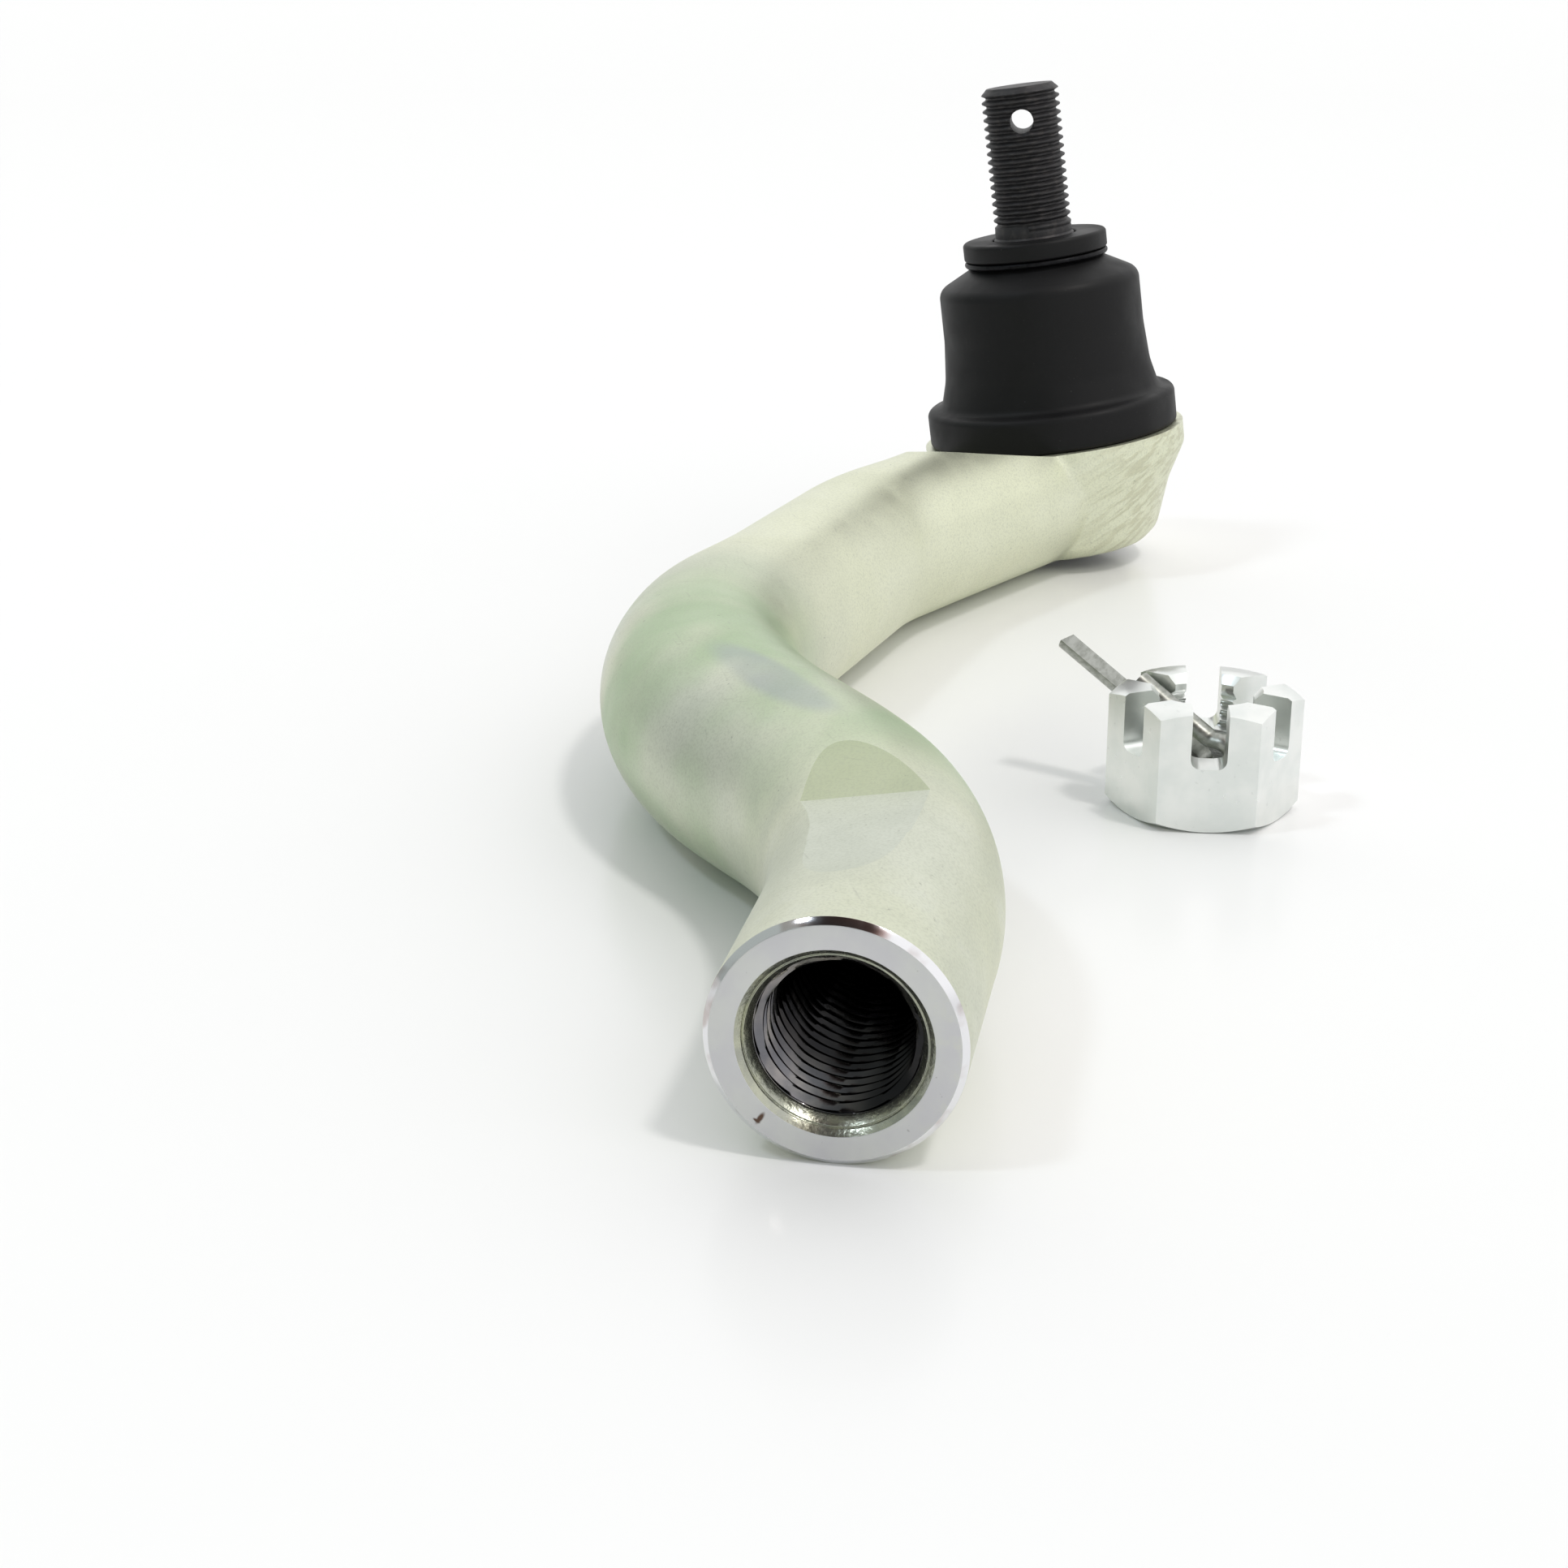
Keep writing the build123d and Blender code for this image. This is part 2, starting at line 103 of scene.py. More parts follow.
# mark pressed into the crown behind the socket, rolled towards -Y: (x, depth) of its floor, then a
# straight slope back up from a skewed crease
CROWN_Z = FLOOR_Z + 2 * 11.05
PRESS_ROLL = radians(10)
PRESS_FLOOR = (
    (-8.0, -0.03),
    (-10.0, 0.33),
    (-12.0, 0.60),
    (-14.5, 0.84),
    (-18.0, 1.02),
    (-23.0, 1.14),
)
PRESS_CREASE, PRESS_SKEW, PRESS_DEPTH, PRESS_TILT = -31.4, 0.04, 1.28, 0.015
PRESS_RUN, PRESS_SLOPE = 10.0, 0.30
PRESS_FLANK, PRESS_TALL = 14.0, 8.0
PRESS_BOX = ((-42.0, -7.5), (-11.0, 8.0), (7.5, 20.0))
PRESS_TOLERANCE = 0.006

# head
BALL = Vector((-207.2, -1.0, 5.0))
ROLL = radians(7.7)
HEAD_UP = Vector((0, -sin(ROLL), cos(ROLL)))
CAVITY_R = 12.0
LIP_BASE, LIP_R = 4.6, 8.95
COLLAR_TOP, COLLAR_R, COLLAR_MOUTH_R = 8.7, 15.0, 11.3
GROOVE_R, GROOVE_LOW, GROOVE_HIGH = 14.3, 5.1, 7.3
FLANGE_R, FLANGE_TOP, FLANGE_LOW = 20.2, 3.6, 0.3
WAIST_R, WAIST_U = 17.4, -5.0
FOOT_R, FOOT_U = 14.9, -12.4
CRIMP_BOTTOM, CRIMP_R, CRIMP_INNER_R = -14.3, 12.9, 10.6
CAP_LOW = -13.5
SPOTFACE_R, SPOTFACE_OUTER_R, SPOTFACE_RISE = 20.6, 38.0, 5.4
HEAD_SPARE = 1.5  # left above the collar for turning
BELLY_REACH = 9.0
HEAD_VOXEL = 0.42
HEAD_SMOOTHING, HEAD_SMOOTHING_SHARE = 10, 0.6
TURNED_LOW, TURNED_TOP, TURNED_WIDE, TURNED_RISE = 3.0, 40.0, 8.0, 1.6

# boot
BOOT_BEAD_R, BOOT_BEAD_LOW, BOOT_BEAD_TOP = 19.3, 3.66, 9.2
BOOT_SKIRT_R, BOOT_SKIRT_U = 16.6, 9.7
BOOT_WAIST_R, BOOT_WAIST_U = 15.4, 19.5
BOOT_SHOULDER_U = 27.4
BOOT_NECK_R, BOOT_NECK_U = 10.0, 30.4
BOOT_LIP_R, BOOT_LIP_LOW, BOOT_TOP = 11.0, 31.4, 34.2
BOOT_MOUTH_R = 6.42
BOOT_WALL = 2.0
BOOT_GAP = 0.1

# stud
BALL_R, BALL_RINGS = 10.0, 40
STUD_NECK_R, STUD_NECK_TOP = 5.75, 12.0
TAPER_LOW, TAPER_LARGE_R = 15.0, 7.1
TAPER_HIGH, TAPER_SMALL_R = 34.1, 6.145
STUD_TIP = 56.6
STUD_CHAMFER = 0.9
STUD_THREAD = {"pitch": 1.25, "core": 5.22, "crest": 5.88}
COTTER_HOLE_R, COTTER_HOLE_DROP, COTTER_SINK = 1.75, 5.0, 0.35
COTTER_PAST = 2.0
COTTER_HOLE_TURN = radians(4.5)

# nut
NUT_PLACE = Vector((-91.9, 26.5, FLOOR_Z))
NUT_TURN = radians(5.0)
NUT_FLATS, NUT_HEIGHT = 19.0, 14.0
NUT_SLOT, NUT_SLOT_DEPTH, NUT_SLOT_ROUND = 4.0, 6.5, 1.1
NUT_SINK_R = 6.3
NUT_BEVEL, NUT_BEVEL_ANGLE = 0.28, radians(28)
NUT_THREAD = {"pitch": 1.25, "core": 5.35, "crest": 6.05}
NUT_CHAMFER_SLOPE = tan(radians(30))

# camera
CAMERA_PLACE = Vector((180.2, 30.6, 86.4))
CAMERA_HEADING = Vector((-0.982, -0.191, 0)).normalized()
CAMERA_PITCH = radians(19.5)
CAMERA_LENS = 56.83

FLOOR_HALF = 9000.0

CHROMATE, CHAMFER, FACE, GOLD, THREAD, MARK_SLOPE, MARK_FLOOR = range(7)


# ---- mesh tools ---------------------------------------------------------------------------------

def basis(origin, x_dir, z_dir):
    """The matrix of a place whose z runs along z_dir and whose x lies towards x_dir."""
    z = Vector(z_dir).normalized()
    x = (Vector(x_dir) - z * Vector(x_dir).dot(z)).normalized()
    m = Matrix((x, z.cross(x), z)).transposed().to_4x4()
    m.translation = origin
    return m


HEAD = basis(BALL, (1, 0, 0), HEAD_UP)
SOCKET = basis((0, 0, 0), (0, 1, 0), (-1, 0, 0))
NUT = basis(NUT_PLACE, (cos(NUT_TURN), sin(NUT_TURN), 0), (0, 0, 1))


def polar(radius, angle, height):
    return Vector((radius * cos(angle), radius * sin(angle), height))


def turned_by(arm, angle):
    """A flat vector turned to the left."""
    c, s = cos(angle), sin(angle)
    return Vector((arm.x * c - arm.y * s, arm.x * s + arm.y * c))


def eased(share):
    return share * share * (3 - 2 * share)


def rounded(points, closed=False, steps=5):
    """An outline of (radius, height, corner size) with each sized corner turned into an arc."""
    done = []
    n = len(points)
    for i, (a, b, size) in enumerate(points):
        if size <= 0 or (not closed and i in (0, n - 1)):
            done.append((a, b))
            continue
        p = Vector((a, b))
        to_last = Vector(points[i - 1][:2]) - p
        to_next = Vector(points[(i + 1) % n][:2]) - p
        back, on = to_last.normalized(), to_next.normalized()
        half = acos(max(-1, min(1, back.dot(on)))) / 2
        # an arc takes at most just under half of either side, so it never meets the next one
        reach = min(size / tan(half), 0.48 * to_last.length, 0.48 * to_next.length)
        centre = p + (back + on).normalized() * (reach / cos(half))
        first, last = p + back * reach - centre, p + on * reach - centre
        turn = atan2(first.x * last.y - first.y * last.x, first.dot(last))
        for k in range(steps + 1):
            done.append(tuple(centre + turned_by(first, turn * k / steps)))
    return done


class Skin:
    """A surface of rings with one number of columns, which may hold a stretch of screw thread."""

    def __init__(self, columns):
        self.columns = columns
        self.verts, self.faces, self.slots = [], [], []
        self.last = None

    def add(self, points):
        first = len(self.verts)
        self.verts += points
        return list(range(first, len(self.verts)))

    def face(self, corners, slot):
        self.faces.append(corners)
        self.slots.append(slot)

    def band(self, low, high, slot, wrap=True):
        count = self.columns if wrap else self.columns - 1
        for j in range(count):
            k = (j + 1) % self.columns
            self.face((low[j], low[k], high[k], high[j]), slot)

    def ring(self, points, slot=0):
        new = self.add(points)
        if self.last:
            self.band(self.last, new, slot)
        self.last = new

    def circle(self, place, radius, height):
        """The points of one ring about a place's z axis."""
        turns = [2 * pi * j / self.columns for j in range(self.columns)]
        return [place @ polar(radius, a, height) for a in turns]

    def turn(self, place, radius, height, slot=0):
        self.ring(self.circle(place, radius, height), slot)

    def cap(self, slot=0):
        self.face(tuple(self.last), slot)

    def thread(self, place, height, radius, turns, per_turn, slot=0):
        """Rows about a place's z axis that climb one pitch in every turn; height(t) and radius(t)
        place a vertex after t turns."""
        m, rows = self.columns, []
        for k in range(int(turns * per_turn) + 1):
            at = [k / per_turn + j / m for j in range(m)]
            row = [polar(radius(t), 2 * pi * j / m, height(t)) for j, t in enumerate(at)]
            rows.append(self.add([place @ p for p in row]))
        first = self.last
        self.band(first, rows[0], slot, wrap=False)
        start_column = [rows[k][0] for k in range(per_turn + 1)]
        self.face((first[-1], first[0], *start_column, rows[0][-1]), slot)
        for k in range(len(rows) - 1):
            self.band(rows[k], rows[k + 1], slot, wrap=False)
            if k + 1 + per_turn < len(rows):
                over, above = rows[k + per_turn][0], rows[k + 1 + per_turn][0]
                self.face((rows[k][-1], over, above, rows[k + 1][-1]), slot)
        self.open_rows = rows[-per_turn - 1:]

    def end_thread(self, place, radius, height, slot=0):
        """Close the thread's last turn with a flat ring."""
        new = self.add(self.circle(place, radius, height))
        rows = self.open_rows
        self.band(rows[-1], new, slot, wrap=False)
        last_column = [row[-1] for row in reversed(rows)]
        self.face((rows[-1][0], new[0], new[-1], *last_column), slot)
        self.last = new

    def build(self, name, materials):
        mesh = bpy.data.meshes.new(name)
        mesh.from_pydata([Vector(v) * MM for v in self.verts], [], self.faces)
        for m in materials:
            mesh.materials.append(m)
        mesh.polygons.foreach_set("material_index", self.slots)
        return shown(name, tidy(mesh))


def tidy(mesh, sharp=SHARP):
    """Triangulate the many-sided faces, turn every face outwards and shade the mesh smooth."""
    bm = bmesh.new()
    bm.from_mesh(mesh)
    bmesh.ops.remove_doubles(bm, verts=bm.verts, dist=WELD)
    bmesh.ops.triangulate(bm, faces=[f for f in bm.faces if len(f.verts) > 4])
    bmesh.ops.recalc_face_normals(bm, faces=bm.faces)
    bm.to_mesh(mesh)
    bm.free()
    mesh.shade_smooth()
    mesh.set_sharp_from_angle(angle=sharp)
    return mesh


def shown(name, mesh):
    obj = bpy.data.objects.new(name, mesh)
    bpy.context.scene.collection.objects.link(obj)
    return obj


def solid(name, verts, faces, materials):
    """An object of vertices in metres and faces."""
    mesh = bpy.data.meshes.new(name)
    mesh.from_pydata(verts, [], faces)
    for m in materials:
        mesh.materials.append(m)
    return shown(name, tidy(mesh))


def lathe(name, place, outline, materials, columns, closed=False):
    """Turn an outline of (radius, height) about a place's z axis. An open outline starts and ends
    on the axis; a closed one joins its last point to its first."""
    skin = Skin(columns)
    first = None
    for radius, height in outline:
        skin.turn(place, max(radius, AXIS_R), height)
        if first is None:
            first = skin.last
            if not closed:
                skin.cap()
    if closed:
        skin.band(skin.last, first, 0)
    else:
        skin.cap()
    return skin.build(name, materials)


def cut(target, tool, operation="DIFFERENCE"):
    """Apply a boolean with the tool to the target and remove the tool."""
    modifier = target.modifiers.new("cut", "BOOLEAN")
    modifier.operation = operation
    modifier.solver = "MANIFOLD"
    modifier.object = tool
    bake_modifiers(target)
    bpy.data.objects.remove(tool)


def bake_modifiers(obj):
    """Replace an object's mesh with what its modifiers make of it."""
    graph = bpy.context.evaluated_depsgraph_get()
    made = bpy.data.meshes.new_from_object(obj.evaluated_get(graph))
    obj.modifiers.clear()
    obj.data = made


def thread_radius(size, turn):
    """Radius of a 60 degree thread at a position in turns: flat core, flank, flat crest, flank."""
    t = turn % 1.0
    depth = size["crest"] - size["core"]
    if t < CORE_END:
        share = 0.0
    elif t < CREST_START:
        share = (t - CORE_END) / FLANK
    elif t < CREST_END:
        share = 1.0
    else:
        share = (1.0 - t) / FLANK
    return size["core"] + depth * (eased(share) * FLANK_EASE + share * (1 - FLANK_EASE))


# ---- materials ----------------------------------------------------------------------------------

class Nodes:
    """Shorthand for one material's node tree, in object coordinates measured in millimetres."""

    def __init__(self, name, roughness, metallic, colour=None):
        self.material = bpy.data.materials.new(name)
        self.material.use_nodes = True
        self.tree = self.material.node_tree
        self.shader = self.tree.nodes["Principled BSDF"]
        self.shader.inputs["Metallic"].default_value = metallic
        self.shader.inputs["Roughness"].default_value = roughness
        if colour:
            self.shader.inputs["Base Color"].default_value = (*colour, 1)
        coordinates = self.tree.nodes.new("ShaderNodeTexCoord")
        self.place = self.tree.nodes.new("ShaderNodeMapping")
        self.place.inputs["Scale"].default_value = (1 / MM,) * 3
        self.link(coordinates.outputs["Object"], self.place.inputs["Vector"])

    def link(self, source, target):
        self.tree.links.new(source, target)

    def mapping(self, location, turn, scale):
        """The place as measured from a turned and scaled frame."""
        node = self.tree.nodes.new("ShaderNodeMapping")
        node.vector_type = "TEXTURE"
        node.inputs["Location"].default_value = location
        node.inputs["Rotation"].default_value = turn
        node.inputs["Scale"].default_value = scale
        self.link(self.place.outputs["Vector"], node.inputs["Vector"])
        return node.outputs["Vector"]

    def stretched(self, scale, turn=(0, 0, 0)):
        """A place for noise whose patches are 1 / scale as long in each direction."""
        return self.mapping((0, 0, 0), turn, [1 / s for s in scale])

    def noise(self, size, detail=2.0, vector=None, rough=0.5):
        """Noise whose patches are about that many millimetres."""
        node = self.tree.nodes.new("ShaderNodeTexNoise")
        node.inputs["Scale"].default_value = 1 / size
        node.inputs["Detail"].default_value = detail
        node.inputs["Roughness"].default_value = rough
        self.link(vector or self.place.outputs["Vector"], node.inputs["Vector"])
        return node.outputs["Fac"]

    def ramp(self, source, low, high):
        """0 at low and before it, 1 at high and past it; high may be the smaller one."""
        node = self.tree.nodes.new("ShaderNodeMapRange")
        node.interpolation_type = "SMOOTHSTEP"
        node.inputs["From Min"].default_value = low
        node.inputs["From Max"].default_value = high
        self.link(source, node.inputs["Value"])
        return node.outputs["Result"]

    def maths(self, operation, a, b):
        node = self.tree.nodes.new("ShaderNodeMath")
        node.operation = operation
        for socket, value in zip(node.inputs, (a, b)):
            if isinstance(value, (int, float)):
                socket.default_value = value
            else:
                self.link(value, socket)
        return node.outputs[0]

    def times(self, a, b):
        return self.maths("MULTIPLY", a, b)

    def mix(self, share, a, b):
        """Colour a where share is 0, b where it is 1."""
        node = self.tree.nodes.new("ShaderNodeMix")
        node.data_type = "RGBA"
        ins = [s for s in node.inputs if s.type == "RGBA"]
        factor = node.inputs[0]
        if isinstance(share, (int, float)):
            factor.default_value = share
        else:
            self.link(share, factor)
        for socket, value in zip(ins, (a, b)):
            if isinstance(value, tuple):
                socket.default_value = (*value, 1)
            else:
                self.link(value, socket)
        return [s for s in node.outputs if s.type == "RGBA"][0]

    def over(self, base, mask, share, colour):
        """A colour laid over the base where the mask is 1, covering that share of it."""
        return self.mix(self.times(mask, share), base, colour)

    def axes(self):
        node = self.tree.nodes.new("ShaderNodeSeparateXYZ")
        self.link(self.place.outputs["Vector"], node.inputs["Vector"])
        return node.outputs["X"], node.outputs["Y"], node.outputs["Z"]

    def colour(self, source):
        self.link(source, self.shader.inputs["Base Color"])

    def roughness(self, source, low, high):
        node = self.tree.nodes.new("ShaderNodeMapRange")
        node.inputs["To Min"].default_value = low
        node.inputs["To Max"].default_value = high
        self.link(source, node.inputs["Value"])
        self.link(node.outputs["Result"], self.shader.inputs["Roughness"])

    def bump(self, source, height, strength):
        """Adds a relief of that many millimetres."""
        node = self.tree.nodes.new("ShaderNodeBump")
        node.inputs["Distance"].default_value = height * MM
        node.inputs["Strength"].default_value = strength
        self.link(source, node.inputs["Height"])
        normal = self.shader.inputs["Normal"]
        if normal.is_linked:
            self.link(normal.links[0].from_socket, node.inputs["Normal"])
        self.link(node.outputs["Normal"], normal)


ENDLESS = 1e6  # millimetres; the reach of an ellipse's prism along the axis it is seen from


def ellipse_mask(n, location, turn, scale, outside, inside):
    """1 well inside an ellipse and 0 well outside it, where its own edge counts as 1 from its
    centre: the mask fades from that share of the way, inside, to the share outside."""
    length = n.tree.nodes.new("ShaderNodeVectorMath")
    length.operation = "LENGTH"
    n.link(n.mapping(location, turn, scale), length.inputs[0])
    return n.ramp(length.outputs["Value"], outside, inside)


def zinc_chromate(name="zinc_chromate", tint=None, share=0.0):
    """Pale yellow-green plating over a forged skin: cloudy, finely speckled and scratched. A tint
    covers that share of it."""
    n = Nodes(name, 0.4, 0.82)
    x, y, _ = n.axes()
    clouds = n.ramp(n.noise(18, 5, rough=0.65), 0.30, 0.70)
    patches = n.ramp(n.noise(9, 4, rough=0.6), 0.35, 0.7)
    pale, yellow, green, grey = (
        (0.645, 0.67, 0.565),
        (0.655, 0.675, 0.475),
        (0.42, 0.535, 0.345),
        (0.56, 0.59, 0.56),
    )
    base = n.mix(clouds, pale, yellow)
    base = n.over(base, patches, 0.45, grey)
    # the run behind the second bend is painted brighter, standing in for the light on its lit right
    # flank, and is yellower in its own tone
    base = n.over(base, n.ramp(x, -95, -125), 0.7, (0.80, 0.82, 0.63))
    # the middle run is greener
    middle = n.times(n.ramp(x, -30, -52), n.ramp(x, -112, -82))
    greener = n.ramp(n.noise(17, 2), 0.3, 0.66)
    base = n.over(base, n.times(middle, greener), 0.95, green)
    if tint:
        base = n.mix(share, base, tint)
    # a plain grey smear of old ink on the crown
    ellipse = (-57.5, -16.8, 0), (0, 0, radians(41)), (11.5, 2.5, ENDLESS)
    smear = ellipse_mask(n, *ellipse, outside=1.3, inside=0.7)
    broken = n.ramp(n.noise(7.0, 1), 0.1, 0.7)
    base = n.over(base, n.times(smear, broken), 0.48, (0.33, 0.35, 0.42))
    # warm streaks beside the boot, where the forging's flash was trimmed
    trim = n.times(n.ramp(x, -180, -196), n.ramp(y, 0, 12))
    streak_place = n.stretched((0.5, 0.10, 1.5), (radians(34), 0, 0))
    streaks = n.ramp(n.noise(1.0, 2, streak_place), 0.42, 0.62)
    base = n.over(base, n.times(trim, streaks), 0.5, (0.50, 0.49, 0.34))
    # fine dark grain, pits, scratches and hairlines
    pits = n.ramp(n.noise(0.55, 2), 0.70, 0.78)
    scratch_place = n.stretched((0.12, 2.2, 1.4), (0, 0, radians(25)))
    scratches = n.ramp(n.noise(0.8, 2, scratch_place), 0.66, 0.78)
    hair_place = n.stretched((2.4, 0.14, 1.0), (0, radians(20), radians(-18)))
    hairs = n.ramp(n.noise(0.9, 1, hair_place), 0.70, 0.80)
    grain = n.ramp(n.noise(0.28, 2), 0.42, 0.68)
    base = n.over(base, grain, 0.22, (0.36, 0.38, 0.30))
    base = n.over(base, pits, 0.45, (0.22, 0.23, 0.19))
    base = n.over(base, n.maths("MAXIMUM", scratches, hairs), 0.22, (0.30, 0.31, 0.26))
    n.colour(base)
    skin = n.noise(0.35, 3)
    n.roughness(n.maths("ADD", n.times(patches, 0.6), n.times(skin, 0.4)), 0.34, 0.52)
    n.bump(skin, 0.02, 0.35)
    n.bump(n.noise(4.5, 2), 0.10, 0.5)
    n.bump(n.times(trim, streaks), 0.12, 0.6)
    return n.material


def mirror_chamfer():
    """The chamfer round the socket's face, cut bright before plating, with the warm room's
    reflection painted on it in brown patches.
    """
    n = Nodes("socket_chamfer", 0.07, 1.0)
    # painted reflection: dark red-brown noise patches stand in for the warm room mirrored in the
    # bright chamfer
    painted_reflection = n.ramp(n.noise(3.2, 2), 0.5, 0.68)
    n.colour(n.over((0.80, 0.80, 0.82), painted_reflection, 0.6, (0.42, 0.33, 0.30)))
    n.roughness(n.noise(1.4, 2), 0.04, 0.16)
    n.bump(n.noise(2.2, 1), 0.03, 0.5)
    return n.material


def face_ring():
    """The socket's faced end: smooth, faintly purple grey, with a nick of rust."""
    n = Nodes("socket_face", 0.36, 0.85)
    _, y, _ = n.axes()
    cloud = n.ramp(n.noise(5, 3), 0.35, 0.7)
    base = n.mix(cloud, (0.58, 0.58, 0.595), (0.65, 0.66, 0.64))
    warm = n.times(n.ramp(y, 5, 11), n.ramp(n.noise(2.4, 3), 0.45, 0.6))
    base = n.over(base, warm, 0.35, (0.66, 0.68, 0.56))
    # the nick is two ellipses: (place, turn, half sizes)
    for place, turn, half in (((-6.1, -7.15), 1.0, (0.55, 0.2)), ((-6.4, -7.4), -0.6, (0.3, 0.12))):
        ellipse = (0, *place), (turn, 0, 0), (ENDLESS, *half)
        nick = ellipse_mask(n, *ellipse, outside=1.5, inside=0.6)
        base = n.mix(nick, base, (0.12, 0.075, 0.055))
    specks = n.ramp(n.noise(0.5, 2), 0.72, 0.80)
    base = n.over(base, specks, 0.5, (0.28, 0.27, 0.26))
    n.colour(base)
    n.roughness(cloud, 0.32, 0.44)
    n.bump(n.noise(0.5, 2), 0.01, 0.4)
    return n.material


def gold_mouth():
    """The countersunk mouth, where the chromate pooled golden."""
    n = Nodes("socket_mouth", 0.28, 0.95)
    cloud = n.ramp(n.noise(2.0, 3), 0.3, 0.7)
    n.colour(n.mix(cloud, (0.36, 0.37, 0.325), (0.50, 0.51, 0.40)))
    n.roughness(n.noise(0.6, 2), 0.16, 0.34)
    n.bump(n.noise(0.45, 3), 0.045, 0.8)
    return n.material


def oily_thread():
    """Dark cut steel under a film of oil, with shade painted in deep in the bore and towards +Y."""
    n = Nodes("socket_thread", 0.22, 1.0)
    x, y, _ = n.axes()
    cloud = n.ramp(n.noise(3.0, 3), 0.35, 0.7)
    base = n.mix(cloud, (0.16, 0.16, 0.175), (0.30, 0.28, 0.27))
    # painted shade: the thread is darkened away from the mouth, deeper in the bore, and towards +Y
    painted_shade = n.maths("MAXIMUM", n.ramp(x, -1.0, -9.0), n.ramp(y, -4.5, 3.5))
    n.colour(n.over(base, painted_shade, 0.94, (0.014, 0.014, 0.015)))
    n.roughness(n.noise(0.8, 2), 0.10, 0.22)
    n.bump(n.noise(0.7, 2), 0.02, 0.6)
    return n.material


def boot_rubber():
    """Matt black moulded rubber with a little bloom and dust."""
    n = Nodes("boot_rubber", 0.55, 0.0)
    bloom = n.ramp(n.noise(7, 3), 0.3, 0.75)
    base = n.over((0.0042, 0.0042, 0.0046), bloom, 0.6, (0.0085, 0.0085, 0.0095))
    dust = n.ramp(n.noise(0.4, 2), 0.73, 0.79)
    n.colour(n.over(base, dust, 0.25, (0.12, 0.12, 0.12)))
    n.roughness(bloom, 0.46, 0.62)
    n.shader.inputs["Specular IOR Level"].default_value = 0.22
    n.bump(n.noise(0.25, 3), 0.02, 0.5)
    n.bump(n.noise(5.0, 2), 0.12, 0.4)
    return n.material


def black_phosphate():
    """Crystalline black phosphate, rubbed brown on the crests."""
    n = Nodes("black_phosphate", 0.5, 0.55)
    worn = n.ramp(n.noise(1.2, 3), 0.45, 0.72)
    n.colour(n.over((0.034, 0.033, 0.035), worn, 0.6, (0.070, 0.064, 0.062)))
    n.roughness(n.noise(0.5, 3), 0.40, 0.62)
    n.bump(n.noise(0.15, 3), 0.012, 0.6)
    return n.material


def bright_zinc():
    """Clear zinc plate on a formed nut, with softly clouded flats."""
    n = Nodes("bright_zinc", 0.24, 1.0)
    cloud = n.ramp(n.noise(4, 3), 0.3, 0.72)
    base = n.mix(cloud, (0.86, 0.875, 0.85), (0.77, 0.80, 0.775))
    wear = n.ramp(n.noise(0.8, 3), 0.66, 0.78)
    n.colour(n.over(base, wear, 0.25, (0.46, 0.48, 0.46)))
    n.roughness(n.noise(1.5, 3), 0.24, 0.36)
    n.bump(n.noise(0.6, 3), 0.006, 0.4)
    n.bump(n.noise(3.6, 1), 0.035, 0.4)
    return n.material


def drawn_steel(name, colour, dark, roughness=(0.25, 0.42)):
    """Plain steel of a given tone, drawn or pressed, with a streaky surface."""
    n = Nodes(name, roughness[0], 1.0)
    streaks = n.noise(0.7, 3, n.stretched((0.3, 1.0, 1.8)))
    n.colour(n.mix(n.ramp(streaks, 0.35, 0.7), colour, dark))
    n.roughness(n.noise(1.1, 2), *roughness)
    n.bump(streaks, 0.01, 0.5)
    return n.material


def acetal():
    """Off-white bearing plastic, faintly greasy."""
    n = Nodes("acetal", 0.35, 0.0)
    n.colour(n.mix(n.ramp(n.noise(6, 2), 0.3, 0.7), (0.80, 0.79, 0.73), (0.72, 0.70, 0.62)))
    n.shader.inputs["Subsurface Weight"].default_value = 0.05
    n.roughness(n.noise(2, 2), 0.28, 0.42)
    n.bump(n.noise(0.6, 2), 0.01, 0.4)
    return n.material


def seal_rubber():
    """Smooth black nitrile."""
    n = Nodes("seal_rubber", 0.4, 0.0)
    n.colour(n.mix(n.noise(1, 2), (0.014, 0.014, 0.014), (0.022, 0.022, 0.022)))
    n.bump(n.noise(0.3, 2), 0.005, 0.4)
    return n.material


# ---- forged body --------------------------------------------------------------------------------

def smooth_table(table, at):
    """A value read from a short table of (place, value), eased between its entries."""
    for (a, low), (b, high) in zip(table, table[1:]):
        if at <= b:
            return low + (high - low) * eased(max(0.0, (at - a) / (b - a)))
    return table[-1][1]


def rod_path():
    """Centreline of the rod in plan: (x, y, heading angle, distance from the path's start)."""
    points = [Vector(p) for p in ROD_CORNERS]
    path, distance = [], 0.0
    here = points[0]
    for i in range(1, len(points)):
        leg = (points[i] - points[i - 1]).normalized()
        if i < len(points) - 1:
            after = (points[i + 1] - points[i]).normalized()
            turn = atan2(leg.x * after.y - leg.y * after.x, leg.dot(after))
            radius = BEND_RADII[i - 1]
            stop = points[i] - leg * radius * tan(abs(turn) / 2)
        else:
            turn, radius, stop = 0.0, 0.0, points[i]
        heading = atan2(leg.y, leg.x)
        run = (stop - here).length
        steps = max(1, round(run / ROD_STEP))
        for k in range(steps):
            p = here.lerp(stop, k / steps)
            path.append((p.x, p.y, heading, distance + run * k / steps))
        distance += run
        if turn:
            side = Vector((-leg.y, leg.x)) * (1 if turn > 0 else -1)
            centre = stop + side * radius
            arm = stop - centre
            arc = abs(turn) * radius
            steps = max(1, round(arc / ROD_STEP))
            for k in range(steps):
                angle = turn * k / steps
                p = centre + turned_by(arm, angle)
                path.append((p.x, p.y, heading + angle, distance + arc * k / steps))
            distance += arc
            here = centre + turned_by(arm, turn)
    path.append((points[-1].x, points[-1].y, heading, distance))
    return path


